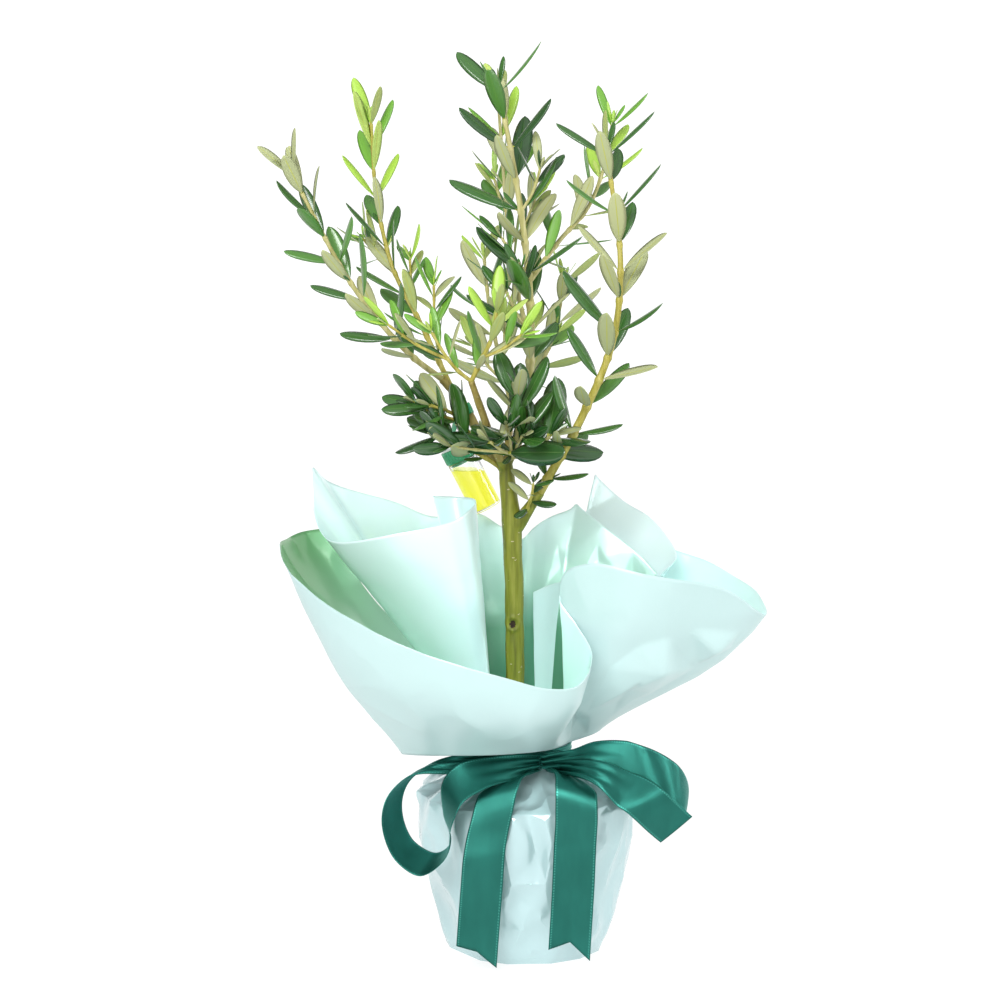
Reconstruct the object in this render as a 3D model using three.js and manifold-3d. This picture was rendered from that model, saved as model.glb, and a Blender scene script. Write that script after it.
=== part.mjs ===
// Young olive tree in a gift-wrapped pot: a slim leaning trunk with five boughs and open, leafy shoots,
// a pot of soil inside a wrap of film, a flared film collar, a satin ribbon bow and a small hanging vial.
// Millimetres, +Z up, front towards -Y. The origin is the middle of the wrapped pot's flat underside.

import * as THREE from 'three';
import { mergeVertices } from 'three/addons/utils/BufferGeometryUtils.js';
import Module from 'manifold-3d';

const wasm = await Module();
wasm.setup();

// Clearance between pieces that touch
const FIT = 0.3;

// Pot and soil, inside the wrap
const POT_HEIGHT = 91;
const POT_BASE_RADIUS = 44;
const POT_RIM_RADIUS = 61;
const POT_WALL = 2;
const POT_LIP_OUT = 2.5;
const POT_LIP_HEIGHT = 8;
const SOIL_BELOW_RIM = 6;
const ROUND_SIDES = 32;

// Film: thickness of the solid sheets, the wrap's outline as radius, height and pleat depth, and its
// pleats as waves round it: count, share of the depth and turn
const FILM = 0.8;
const WRAP_PROFILE = [
  [49, 0, 0],
  [54, 11, 0.6],
  [62, 44, 1.2],
  [67.5, 74, 1.6],
  [69.5, 92, 1.8],
  [66, 98, 1.8],
  [48, 107, 1.6],
  [30, 116, 0.5],
  [26.4, 119, 0],
  [26.4, 128, 0],
];
const WRAP_INNER_ROWS = [0, 2, 4, 5, 7, 8, 9];
const WRAP_WAVES = [[11, 0.6, 0], [3, 0.36, 1]];
const POT_FLOOR = FILM + FIT;

// Collar: where the sheets leave the tied neck
const NECK_HEIGHT = 128.8;
const NECK_OUTER_RADIUS = 26.3;
const NECK_INNER_RADIUS = 25.1;

// Front sheet's fold over the bow: bearing in degrees, radius and height at its two ends
const FOLD_LEFT = { bearing: -162, radius: 79, height: 124 };
const FOLD_RIGHT = { bearing: -40, radius: 33, height: 131 };
const FOLD_SOFTENS = 24;
const FOLD_SHARE = 0.3;

// How far the front sheet swells out between its fold and its rim, at the left and at the right
const SWELL_LEFT = 11;
const SWELL_RIGHT = 5;

// Rims of the collar's sheets: x, y, z and the bearing at the neck that each point rises from
const RIM_FRONT = [
  [-120, 62, 250, -222],
  [-138, 44, 250, -212],
  [-147, 18, 249, -200],
  [-149, -10, 249, -188],
  [-140, -40, 237, -172],
  [-109, -74, 219, -152],
  [-62, -98, 201, -126],
  [-16, -106, 188, -104],
  [12, -102, 180, -90],
  [29, -90, 180, -80],
  [38, -72, 193, -72],
  [29, -54, 209, -66],
  [19, -46, 224, -60],
  [22, -50, 239, -54],
  [38, -60, 246, -46],
  [70, -68, 241, -34],
  [115, -52, 230, -16],
  [144, -18, 208, 2],
  [142, 20, 216, 18],
  [130, 42, 222, 28],
  [114, 60, 229, 38],
  [93, 76, 234, 48],
];
const RIM_LEFT = [
  [-57, 8, 277, 228],
  [-43, 12, 276, 226],
  [-32, 2, 276, 222],
  [-32, -14, 274, 218],
  [-47, -38, 267, 208],
  [-82, -42, 260, 195],
  [-114, -20, 253, 182],
  [-124, -2, 256, 176],
  [-130, 14, 269, 169],
  [-131, 26, 292, 162],
  [-122, 38, 282, 154],
  [-81, 52, 267, 137],
  [-58, 54, 258, 127],
  [-30, 54, 260, 114],
  [-15, 50, 252, 104],
];
const RIM_BACK = [
  [-2, 48, 244, 94],
  [5, 52, 251, 90],
  [15, 57, 257, 84],
  [32, 60, 264, 74],
  [51, 48, 251, 62],
  [70, 38, 237, 50],
  [81, 30, 226, 40],
];
const RIM_STRIP = [
  [85, 33, 226, 54],
  [94, 42, 234, 58],
  [88, 57, 246, 63],
  [78, 68, 256, 68],
  [63, 80, 264, 74],
  [45, 92, 279, 80],
  [40, 94, 255, 83],
];
const RIM_INNER = [
  [20, -34, 231, -60],
  [13, -22, 227, -68],
  [4, -12, 221, -77],
];

// Sheets of the collar: rim, radius at the neck, and counts of points along the rim and up the sheet
const SHEETS = {
  film_front: { rim: RIM_FRONT, neck: NECK_OUTER_RADIUS, rows: 46, columns: 6, folded: true },
  film_left: { rim: RIM_LEFT, neck: NECK_INNER_RADIUS, rows: 40, columns: 4, folded: false },
  film_back: { rim: RIM_BACK, neck: NECK_INNER_RADIUS, rows: 18, columns: 4, folded: false },
  film_strip: { rim: RIM_STRIP, neck: NECK_OUTER_RADIUS, rows: 18, columns: 4, folded: false },
  film_inner: { rim: RIM_INNER, neck: NECK_INNER_RADIUS, rows: 6, columns: 4, folded: false },
};

// Ribbon: width and thickness, and each run's rows of middle point, way across and share of the width
const RIBBON_WIDTH = 25;
const RIBBON_THICK = 0.8;
const RIBBON_STEPS = 2;
const BAND = { radius: 26.7, thick: 1, low: 120, high: 127 };
const KNOT = { middle: [9, -33.5, 121.5], radii: [8, 6.6, 6.2], sides: 12, rows: 8 };
const RIBBON_RUNS = {
  ribbon_left_tail: {
    rows: [
      [4, -35, 118, 1, 0, 0.1, 0.28],
      [-7, -47, 114, 0.96, 0, 0.28, 0.8],
      [-16, -60, 107, 0.97, 0, 0.24, 1],
      [-21, -69, 96, 0.98, 0, 0.18, 1],
      [-25, -72, 77, 0.99, 0, 0.12, 1],
      [-27, -72, 53, 1, 0, 0.06, 1],
      [-30, -70, 11, 1, 0, 0.05, 1],
    ],
    ends: [-8, -4, 7],
  },
  ribbon_right_tail: {
    rows: [
      [13.5, -35, 118, 1, 0, -0.1, 0.28],
      [22, -48, 116, 0.9, 0, -0.35, 0.7],
      [28, -63, 109, 0.96, 0, -0.2, 1],
      [29, -71, 97, 1, 0, 0, 1],
      [28, -72, 78, 1, 0, 0, 1],
      [27, -72, 53, 1, 0, 0, 1],
      [25, -70, 13, 1, 0, 0, 1],
    ],
    ends: [-3, -8, 4],
  },
  ribbon_left_loop: {
    rows: [
      [4, -35, 122, 0, 0.35, 0.94, 0.34],
      [-13, -49, 121, -0.45, 0.6, 0.66, 0.75],
      [-34, -60, 119, -0.6, 0.64, 0.48, 1],
      [-47, -65, 110, -0.5, 0.84, 0.2, 1],
      [-51, -66, 93, -0.2, 0.98, 0, 1],
      [-49, -65, 76, 0.1, 0.98, 0.12, 1],
      [-59, -62, 66, 0.33, 0.88, 0.32, 1],
      [-73, -57, 73, 0.4, 0.88, 0.25, 1],
      [-79, -51, 90, 0.44, 0.88, 0.15, 1],
      [-75, -46, 105, 0.45, 0.88, 0.1, 1],
      [-60, -41, 117, 0.5, 0.84, 0.15, 0.9],
      [-32, -34, 121, 0.2, 0.6, 0.78, 0.5],
      [-17.5, -23.5, 122, 0, 0.2, 0.98, 0.3],
    ],
    ends: [0, 0, 0],
  },
  ribbon_right_loop: {
    rows: [
      [15, -34.5, 123, 0, 0.35, 0.94, 0.3],
      [26, -44, 127, 0, 0.75, 0.66, 0.55],
      [40, -50, 132, 0, 0.75, 0.66, 0.8],
      [60, -53, 131, 0, 0.5, 0.86, 1],
      [74, -56, 127, -0.1, 0.55, 0.83, 1],
      [88, -56, 118, 0.1, 0.7, 0.7, 1],
      [96, -51, 106, 0.15, 0.82, 0.55, 1],
      [95, -44, 97, 0.15, 0.88, 0.45, 1],
      [84, -38, 99, -0.1, 0.9, 0.43, 0.9],
      [62, -36, 113, -0.2, 0.75, 0.62, 0.7],
      [38, -33, 121, -0.1, 0.5, 0.85, 0.45],
      [19, -23, 122, 0, 0.2, 0.98, 0.3],
    ],
    ends: [0, 0, 0],
  },
  ribbon_right_end: {
    rows: [
      [15, -37.5, 119.5, 0.1, 0.3, 0.94, 0.2],
      [31, -57, 122, 0.2, 0.75, 0.62, 0.5],
      [47, -68, 119, 0.35, 0.72, 0.6, 0.8],
      [60, -73, 113, 0.55, 0.55, 0.62, 1],
      [72, -74, 104, 0.75, 0.3, 0.58, 1],
      [88, -70, 89, 0.86, 0.1, 0.5, 1],
    ],
    ends: [2, 0, -2],
  },
};

// Trunk and boughs: middle line from root to tip, and the radius along it from root to tip
const SOIL_TOP = POT_FLOOR + POT_HEIGHT - SOIL_BELOW_RIM;
const TRUNK_FOOT = SOIL_TOP + FIT;
const LIMBS = {
  trunk: {
    path: [[-6, 0, TRUNK_FOOT], [-6.8, 0, 150], [-7.3, 0, 215], [-9, 0, 258], [-13, 0, 302]],
    radii: [9.5, 6.2, 5.6, 5.4, 5.3, 5.3, 5.4, 5.3, 4.8, 3.6],
    sides: 12,
  },
  bough_leader: {
    path: [[-12.5, 0, 297], [-3, 2, 318], [2, 2, 345]],
    radii: [3.2, 2.6],
    sides: 8,
  },
  bough_left: {
    path: [[-12.5, 0, 293], [-28, 6, 314], [-39, 9, 334], [-51, 9, 348]],
    radii: [3, 2.1],
    sides: 8,
  },
  bough_right: {
    path: [[-9, 0, 254], [-1, -3, 267], [8, -6, 281]],
    radii: [3.4, 2.8],
    sides: 8,
  },
  bough_front: {
    path: [[-12, 0, 290], [-22, -13, 317], [-33, -28, 350]],
    radii: [2.3, 1.7],
    sides: 8,
  },
  bough_back: {
    path: [[-11.5, 0, 288], [-11, 17, 308], [-9, 34, 330]],
    radii: [2.5, 1.9],
    sides: 8,
  },
};
const LIMB_STEP = 16;

// Foliage: each mass is a stem, some with a side shoot, whose leaves sit in crossed pairs.
// path: root to tip. thick: radius at root and tip. first: bare length at the root. gap: between pairs,
// counted from the tip. leaf: length at root, middle and tip. open: angle off the stem at root and tip.
// phase: turn of the tip pair. twigs: chance of a side twig at a pair. faces: the way the blades turn.
// lowest: height that no leaf tip hangs below, where the trunk and the vial stay in sight.
const FRONT_LIGHT = [-0.2, -0.8, 0.56];
const BACK_LIGHT = [0, 0.6, 0.8];
const MASSES = {
  foliage_low_left: [
    {
      path: [[-12, 0, 293], [-26, -7, 303], [-38, -11, 310], [-52, -13, 318]],
      thick: [1.7, 0.9],
      first: 10,
      gap: 8,
      leaf: [32, 38, 34],
      open: [75, 40],
      phase: 85,
      twigs: 0.2,
      faces: FRONT_LIGHT,
      lowest: 289,
      seed: 129,
    },
    {
      path: [[-26, -7, 303], [-34, -2, 316], [-44, -4, 328], [-58, -8, 334]],
      thick: [1.2, 0.8],
      first: 8,
      gap: 9,
      leaf: [26, 32, 30],
      open: [65, 36],
      phase: 60,
      twigs: 0,
      faces: FRONT_LIGHT,
      lowest: 289,
      seed: 134,
    },
  ],
  foliage_low_right: [
    {
      path: [[-12, 0, 300], [-5, -10, 304], [4, -14, 308], [14, -17, 316]],
      thick: [1.6, 0.9],
      first: 8,
      gap: 7.8,
      leaf: [36, 42, 38],
      open: [85, 48],
      phase: 40,
      twigs: 0.2,
      faces: FRONT_LIGHT,
      lowest: 289,
      seed: 142,
    },
    {
      path: [[-5, -10, 304], [-6, -16, 316], [-5, -21, 328], [-6, -24, 340]],
      thick: [1.2, 0.8],
      first: 8,
      gap: 9,
      leaf: [34, 38, 34],
      open: [65, 30],
      phase: 20,
      twigs: 0,
      faces: FRONT_LIGHT,
      lowest: 289,
      seed: 145,
    },
    {
      path: [[-7, -7, 303], [-10, -19, 306], [-15, -28, 309], [-22, -33, 315]],
      thick: [1.2, 0.8],
      first: 6,
      gap: 7,
      leaf: [34, 36, 32],
      open: [95, 60],
      phase: 30,
      twigs: 0,
      faces: FRONT_LIGHT,
      lowest: 289,
      seed: 173,
    },
  ],
  foliage_front: [
    {
      path: [[-33, -28, 350], [-27, -32, 363], [-21, -36, 376], [-18, -38, 392]],
      thick: [1.5, 0.9],
      first: 6,
      gap: 9,
      leaf: [24, 30, 27],
      open: [52, 22],
      phase: 10,
      twigs: 0.3,
      faces: FRONT_LIGHT,
      seed: 107,
    },
    {
      path: [[-33, -28, 350], [-42, -34, 358], [-50, -38, 369], [-56, -40, 380]],
      thick: [1.2, 0.8],
      first: 8,
      gap: 9,
      leaf: [24, 28, 22],
      open: [56, 34],
      phase: 50,
      twigs: 0,
      faces: FRONT_LIGHT,
      seed: 118,
    },
  ],
  foliage_leader: [
    {
      path: [[2, 2, 345], [2, 0, 396], [-2, -4, 438], [-9, -9, 482], [-17, -12, 521]],
      thick: [2.6, 1.3],
      first: 8,
      gap: 17,
      leaf: [36, 47, 38],
      open: [56, 46],
      phase: 70,
      twigs: 0.1,
      faces: FRONT_LIGHT,
      seed: 41,
    },
    {
      path: [[1, 2, 375], [-8, 20, 412], [-12, 32, 449], [-17, 38, 513]],
      thick: [1.5, 0.9],
      first: 26,
      gap: 17,
      leaf: [34, 36, 28],
      open: [46, 28],
      phase: 20,
      twigs: 0,
      faces: FRONT_LIGHT,
      seed: 52,
    },
    {
      path: [[2, -1, 408], [20, 23, 431], [38, 40, 451], [49, 50, 479], [53, 52, 501]],
      thick: [1.6, 0.9],
      first: 18,
      gap: 15,
      leaf: [34, 38, 28],
      open: [50, 32],
      phase: 60,
      twigs: 0,
      faces: FRONT_LIGHT,
      seed: 63,
    },
  ],
  foliage_right: [
    {
      path: [[8, -6, 281], [34, -16, 330], [51, -24, 375], [55, -23, 420], [47, -15, 484]],
      thick: [2.8, 1.2],
      first: 6,
      gap: 17,
      leaf: [26, 43, 38],
      open: [60, 46],
      phase: 75,
      twigs: 0,
      faces: FRONT_LIGHT,
      seed: 96,
    },
  ],
  foliage_left_outer: [
    {
      path: [[-51, 9, 348], [-72, 5, 365], [-104, -3, 405], [-139, -16, 472]],
      thick: [1.9, 1],
      first: 10,
      gap: 15,
      leaf: [36, 36, 30],
      open: [50, 24],
      phase: 80,
      twigs: 0.2,
      faces: FRONT_LIGHT,
      seed: 74,
    },
  ],
  foliage_left_tall: [
    {
      path: [[-44, 9, 340], [-64, 24, 380], [-82, 38, 415], [-92, 48, 458], [-95, 52, 502]],
      thick: [1.7, 0.9],
      first: 18,
      gap: 16,
      leaf: [32, 36, 32],
      open: [48, 22],
      phase: 30,
      twigs: 0.1,
      faces: FRONT_LIGHT,
      seed: 85,
    },
  ],
  foliage_back: [
    {
      path: [[-9, 34, 330], [-15, 58, 352], [-22, 76, 382], [-26, 84, 418]],
      thick: [1.7, 0.9],
      first: 8,
      gap: 16,
      leaf: [32, 38, 30],
      open: [60, 32],
      phase: 40,
      twigs: 0.1,
      faces: BACK_LIGHT,
      seed: 151,
    },
    {
      path: [[-9, 34, 330], [6, 52, 348], [18, 66, 372], [24, 74, 404]],
      thick: [1.5, 0.9],
      first: 14,
      gap: 15,
      leaf: [32, 36, 28],
      open: [58, 32],
      phase: 70,
      twigs: 0.1,
      faces: BACK_LIGHT,
      seed: 162,
    },
  ],
};
const STEM_SIDES = 3;
const STEM_STEP = 20;

// Leaf: width for its length, thickness, and half width along it as shares of length and half width
const LEAF_SLIM = 0.26;
const LEAF_THICK = 0.8;
const LEAF_STALK = 0.7;
const LEAF_STATIONS = [[0.34, 0.96], [0.72, 0.84]];
const LEAF_CLEAR = 0.35;

// Growth: how much each leaf strays, the pull of its blade to the light, and the place of the pairs
const LEAF_TURN = { azimuth: 16, open: 10, length: 0.14, width: 0.16, bend: 0.1, facing: 0.6 };
const LEAF_FACING = 1.1;
const TIP_PAIR = 2;
const GAP_STRAY = 0.15;

// Side twigs: lowest share of a shoot that bears them, way out, and the same sizes as a shoot
const TWIG = {
  below: 0.6,
  lean: 40,
  length: [24, 40],
  straight: 0.9,
  rise: 0.2,
  bare: 0.45,
  thick: [1, 0.7],
  gap: 9,
  leaf: [22, 28, 22],
  open: [50, 26],
  phase: 45,
  seedStep: 1000,
};

// Seeded row of numbers: each is the last one times a factor, plus a step, within a range
const RANDOM = { factor: 1664525, step: 1013904223, range: 4294967296 };

// Vial: clear tube with a yellow filling, hung behind the left bough
const VIAL_FOOT = [-24, 33, 266];
const VIAL_TILT = 27;
const VIAL_RADIUS = 9.5;
const VIAL_LENGTH = 34;
const VIAL_WALL = 1;
const VIAL_FILL = 27;
const VIAL_CAP_HEIGHT = 9;
const VIAL_SIDES = 18;
const VIAL_BASE = 1.5;
const VIAL_BEVEL = 1;
const CAP_PLUG = 2;
const CAP_OUT = 0.6;

// Tie that hangs the vial: a loop from the cap's top round the left bough
const TIE_RADIUS = 0.8;
const TIE_ROUND = [-36.5, 8.3, 329.5];
const TIE_PLACE = 0.6;
const TIE_SIDES = 4;
const TIE_STEPS = 20;

const paint = (color, roughness, metalness = 0) =>
  new THREE.MeshStandardMaterial({ color, roughness, metalness });
const LOOKS = {
  pot: paint(0x7a4a35, 0.7),
  soil: paint(0x3b2a1e, 1),
  film: paint(0xbfe6d8, 0.35),
  ribbon: paint(0x0f6b57, 0.4),
  bark: paint(0x6b6233, 0.8),
  leaf: paint(0x44622f, 0.5),
  glass: paint(0xe8f0ee, 0.05),
  oil: paint(0xf2e400, 0.1),
  cap: paint(0x1f8a62, 0.4),
};

const radians = THREE.MathUtils.degToRad;
const vector = (values) => new THREE.Vector3(values[0], values[1], values[2]);
const curveThrough = (points) => new THREE.CatmullRomCurve3(points.map(vector), false, 'centripetal');

// Value part of the way along a row of evenly spaced values
function readAlong(values, share) {
  const place = share * (values.length - 1);
  const before = Math.min(Math.floor(place), values.length - 2);
  return THREE.MathUtils.lerp(values[before], values[before + 1], place - before);
}

// Solids from points and triangles

function solidFrom(points, faces) {
  const vertProperties = new Float32Array(points.flatMap((p) => [p.x, p.y, p.z]));
  const triVerts = new Uint32Array(faces.flat());
  const made = new wasm.Manifold(new wasm.Mesh({ numProp: 3, vertProperties, triVerts }));
  if (made.volume() > 0) {
    return made;
  }
  const flipped = faces.map(([a, b, c]) => [a, c, b]);
  return solidFrom(points, flipped);
}

// Closed skin over rings of equal count, with flat ends or, where given, a point at the far end
function skin(rings, tip = null) {
  const count = rings[0].length;
  const points = rings.flat();
  const last = points.length - count;
  const faces = [];
  for (let start = 0; start < last; start += count) {
    for (let k = 0; k < count; k += 1) {
      const a = start + k;
      const b = start + ((k + 1) % count);
      faces.push([a, b, b + count], [a, b + count, a + count]);
    }
  }
  for (let k = 1; k + 1 < count; k += 1) {
    faces.push([0, k + 1, k]);
  }
  if (tip) {
    points.push(tip);
    for (let k = 0; k < count; k += 1) {
      faces.push([last + k, last + ((k + 1) % count), points.length - 1]);
    }
  } else {
    for (let k = 1; k + 1 < count; k += 1) {
      faces.push([last, last + k, last + k + 1]);
    }
  }
  return solidFrom(points, faces);
}

// Closed tube over rings that run round to the first one again
function closedTube(rings) {
  const count = rings[0].length;
  const points = rings.flat();
  const faces = [];
  for (let start = 0; start < points.length; start += count) {
    const next = (start + count) % points.length;
    for (let k = 0; k < count; k += 1) {
      const m = (k + 1) % count;
      faces.push([start + k, start + m, next + m], [start + k, next + m, next + k]);
    }
  }
  return solidFrom(points, faces);
}

// Thin closed sheet over a grid of points, half its thickness to each side
function sheet(grid, thickness) {
  const rows = grid.length;
  const columns = grid[0].length;
  const at = (i, j) => grid[THREE.MathUtils.clamp(i, 0, rows - 1)][THREE.MathUtils.clamp(j, 0, columns - 1)];
  const front = [];
  const back = [];
  for (let i = 0; i < rows; i += 1) {
    for (let j = 0; j < columns; j += 1) {
      const along = at(i + 1, j).clone().sub(at(i - 1, j));
      const across = at(i, j + 1).clone().sub(at(i, j - 1));
      const out = along.cross(across).setLength(thickness / 2);
      front.push(grid[i][j].clone().add(out));
      back.push(grid[i][j].clone().sub(out));
    }
  }
  const size = rows * columns;
  const faces = [];
  const quad = (a, b, c, d) => faces.push([a, b, c], [a, c, d]);
  for (let i = 0; i + 1 < rows; i += 1) {
    for (let j = 0; j + 1 < columns; j += 1) {
      const a = i * columns + j;
      const b = a + columns;
      quad(a, b, b + 1, a + 1);
      quad(size + a, size + a + 1, size + b + 1, size + b);
    }
  }
  for (let i = 0; i + 1 < rows; i += 1) {
    const a = i * columns;
    const b = a + columns;
    quad(b, a, size + a, size + b);
    const c = a + columns - 1;
    const d = b + columns - 1;
    quad(c, d, size + d, size + c);
  }
  for (let j = 0; j + 1 < columns; j += 1) {
    quad(j, j + 1, size + j + 1, size + j);
    const e = size - columns + j;
    quad(e + 1, e, size + e, size + e + 1);
  }
  return solidFrom([...front, ...back], faces);
}

// Solid of a closed geometry whose corners are shared
function solidOf(geometry) {
  geometry.deleteAttribute('normal');
  geometry.deleteAttribute('uv');
  const merged = mergeVertices(geometry);
  const vertProperties = merged.getAttribute('position').array;
  const triVerts = new Uint32Array(merged.index.array);
  return new wasm.Manifold(new wasm.Mesh({ numProp: 3, vertProperties, triVerts }));
}

function largestBody(solid) {
  const bodies = solid.decompose();
  return bodies.reduce((best, body) => (body.volume() > best.volume() ? body : best));
}

function geometryOf(solid) {
  const mesh = solid.getMesh();
  const geometry = new THREE.BufferGeometry();
  geometry.setAttribute('position', new THREE.BufferAttribute(mesh.vertProperties, 3));
  geometry.setIndex(new THREE.BufferAttribute(mesh.triVerts, 1));
  geometry.computeVertexNormals();
  return geometry;
}

const part = new THREE.Group();

function addPiece(name, geometry, look, parent = part) {
  const mesh = new THREE.Mesh(geometry, look);
  mesh.name = name;
  parent.add(mesh);
}

// Turned piece standing along Z, from a profile of radius and height that starts and ends on the axis
function turned(profile, sides) {
  const points = profile.map(([radius, height]) => new THREE.Vector2(radius, height));
  return new THREE.LatheGeometry(points, sides).rotateX(Math.PI / 2);
}

// Pot and soil

function potRadius(height) {
  return THREE.MathUtils.lerp(POT_BASE_RADIUS, POT_RIM_RADIUS, height / POT_HEIGHT);
}

function makePot() {
  const lipLow = POT_HEIGHT - POT_LIP_HEIGHT;
  const profile = [
    [0, 0],
    [POT_BASE_RADIUS, 0],
    [potRadius(lipLow), lipLow],
    [potRadius(lipLow) + POT_LIP_OUT, lipLow],
    [POT_RIM_RADIUS + POT_LIP_OUT, POT_HEIGHT],
    [POT_RIM_RADIUS - POT_WALL, POT_HEIGHT],
    [POT_BASE_RADIUS - POT_WALL, POT_WALL],
    [0, POT_WALL],
  ];
  return turned(profile, ROUND_SIDES).translate(0, 0, POT_FLOOR);
}

function makeSoil() {
  const low = POT_WALL + FIT;
  const high = SOIL_TOP - POT_FLOOR;
  const inside = low + FIT;
  const profile = [
    [0, low],
    [potRadius(low) - inside, low],
    [potRadius(high) - inside, high],
    [0, high],
  ];
  return turned(profile, ROUND_SIDES).translate(0, 0, POT_FLOOR);
}

// Film wrap of the pot: one skin, out to the neck and back inside, with shallow pleats

function wrapRing(radius, height, pleat) {
  const ring = [];
  for (let k = 0; k < ROUND_SIDES; k += 1) {
    const angle = (2 * Math.PI * k) / ROUND_SIDES;
    const waves = WRAP_WAVES.map(([count, share, turn]) => share * Math.sin(count * angle + turn));
    const reach = radius + pleat * waves.reduce((sum, wave) => sum + wave);
    ring.push(new THREE.Vector3(reach * Math.cos(angle), reach * Math.sin(angle), height));
  }
  return ring;
}

function makeWrap() {
  const outer = WRAP_PROFILE.map(([radius, height, pleat]) => wrapRing(radius, height, pleat));
  const inner = WRAP_INNER_ROWS.map((k) => {
    const [radius, height, pleat] = WRAP_PROFILE[k];
    const drop = k === WRAP_PROFILE.length - 1 ? 0 : FILM / 2;
    return wrapRing(radius - FILM, k === 0 ? FILM : height - drop, pleat);
  });
  return skin([...outer, ...inner.reverse()]);
}

// Film collar: rulings that rise from the neck, over the fold where there is one, to the rim

function foldPoint(bearing) {
  const share = (bearing - FOLD_LEFT.bearing) / (FOLD_RIGHT.bearing - FOLD_LEFT.bearing);
  const radius = THREE.MathUtils.lerp(FOLD_LEFT.radius, FOLD_RIGHT.radius, share);
  const rise = Math.sin((Math.PI / 2) * THREE.MathUtils.clamp(share * 2, 0, 1));
  const height = THREE.MathUtils.lerp(FOLD_LEFT.height, FOLD_RIGHT.height, rise);
  const angle = radians(bearing);
  return new THREE.Vector3(radius * Math.cos(angle), radius * Math.sin(angle), height);
}

function foldStrength(bearing) {
  const fromLeft = (bearing - FOLD_LEFT.bearing + FOLD_SOFTENS) / FOLD_SOFTENS;
  const fromRight = (FOLD_RIGHT.bearing - bearing) / FOLD_SOFTENS;
  return THREE.MathUtils.smoothstep(Math.min(fromLeft, fromRight), 0, 1);
}

function collarSheet({ rim, neck: neckRadius, rows, columns, folded }) {
  const edge = curveThrough(rim);
  const grid = [];
  for (let i = 0; i < rows; i += 1) {
    const share = i / (rows - 1);
    const top = edge.getPoint(share);
    const bearing = readAlong(rim.map((point) => point[3]), share);
    const angle = radians(bearing);
    const neck = new THREE.Vector3(neckRadius * Math.cos(angle), neckRadius * Math.sin(angle), NECK_HEIGHT);
    const middle = neck.clone().lerp(top, FOLD_SHARE);
    if (folded) {
      middle.lerp(foldPoint(bearing), foldStrength(bearing));
    }
    const row = [neck, middle];
    const swell = THREE.MathUtils.lerp(SWELL_LEFT, SWELL_RIGHT, share);
    const out = new THREE.Vector3(Math.cos(angle), Math.sin(angle), -1).setLength(folded ? swell : 0);
    for (let j = 2; j < columns; j += 1) {
      const rise = (j - 1) / (columns - 2);
      row.push(middle.clone().lerp(top, rise).addScaledVector(out, Math.sin(Math.PI * rise)));
    }
    grid.push(row);
  }
  return sheet(grid, FILM);
}

// Ribbon

function ribbonRun({ rows, ends }, grow = 0) {
  const middles = curveThrough(rows);
  const ways = curveThrough(rows.map((row) => row.slice(3, 6)));
  const steps = (rows.length - 1) * RIBBON_STEPS;
  const grid = [];
  for (let i = 0; i <= steps; i += 1) {
    const share = i / steps;
    const width = RIBBON_WIDTH * readAlong(rows.map((row) => row[6]), share) + 2 * grow;
    const across = ways.getPoint(share).setLength(width / 2);
    const along = middles.getTangent(share);
    const row = [-1, 0, 1].map((side, column) => {
      const point = middles.getPoint(share).addScaledVector(across, side);
      return i === steps ? point.addScaledVector(along, ends[column]) : point;
    });
    grid.push(row);
  }
  return sheet(grid, RIBBON_THICK + 2 * grow);
}

function knotSolid(grow = 0) {
  const ball = new THREE.SphereGeometry(1, KNOT.sides, KNOT.rows);
  const [rx, ry, rz] = KNOT.radii.map((radius) => radius + grow);
  return solidOf(ball.scale(rx, ry, rz).translate(...KNOT.middle));
}

function bandSolid(grow = 0) {
  const inside = BAND.radius - grow;
  const outside = BAND.radius + BAND.thick + grow;
  const profile = [
    [inside, BAND.low - grow],
    [outside, BAND.low - grow],
    [outside, BAND.high + grow],
    [inside, BAND.high + grow],
    [inside, BAND.low - grow],
  ];
  return solidOf(turned(profile, ROUND_SIDES));
}

function addRibbon() {
  addPiece('ribbon_band', geometryOf(bandSolid()), LOOKS.ribbon);
  const knot = knotSolid().subtract(bandSolid(FIT));
  addPiece('ribbon_knot', geometryOf(knot), LOOKS.ribbon);
  const keepClear = [bandSolid(FIT), knotSolid(FIT)];
  for (const [name, run] of Object.entries(RIBBON_RUNS)) {
    const cut = keepClear.reduce((solid, other) => solid.subtract(other), ribbonRun(run));
    addPiece(name, geometryOf(largestBody(cut)), LOOKS.ribbon);
    keepClear.push(ribbonRun(run, FIT));
  }
}

// Limbs

// Way along a curve and two ways across it, the first one turned to the front
function frameAt(curve, share) {
  const along = curve.getTangentAt(share);
  const front = new THREE.Vector3(0, -1, 0);
  front.addScaledVector(along, along.y).normalize();
  const side = new THREE.Vector3().crossVectors(along, front);
  return { point: curve.getPointAt(share), along, front, side };
}

function limbSolid({ path, radii, sides }, grow = 0, step = LIMB_STEP) {
  const curve = curveThrough(path);
  const count = Math.max(2, Math.round(curve.getLength() / step));
  const rings = [];
  for (let i = 0; i <= count; i += 1) {
    const share = i / count;
    const { point, along, front, side } = frameAt(curve, share);
    const radius = readAlong(radii, share) + grow;
    if (i === count) {
      point.addScaledVector(along, grow);
    }
    const ring = [];
    for (let k = 0; k < sides; k += 1) {
      const angle = (2 * Math.PI * k) / sides;
      const spoke = front.clone().multiplyScalar(Math.cos(angle)).addScaledVector(side, Math.sin(angle));
      ring.push(point.clone().addScaledVector(spoke, radius));
    }
    rings.push(ring);
  }
  return skin(rings);
}

// Foliage

function seeded(seed) {
  let state = seed;
  return (spread) => {
    state = (Math.imul(state, RANDOM.factor) + RANDOM.step) >>> 0;
    return spread * ((2 * state) / RANDOM.range - 1);
  };
}

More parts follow.
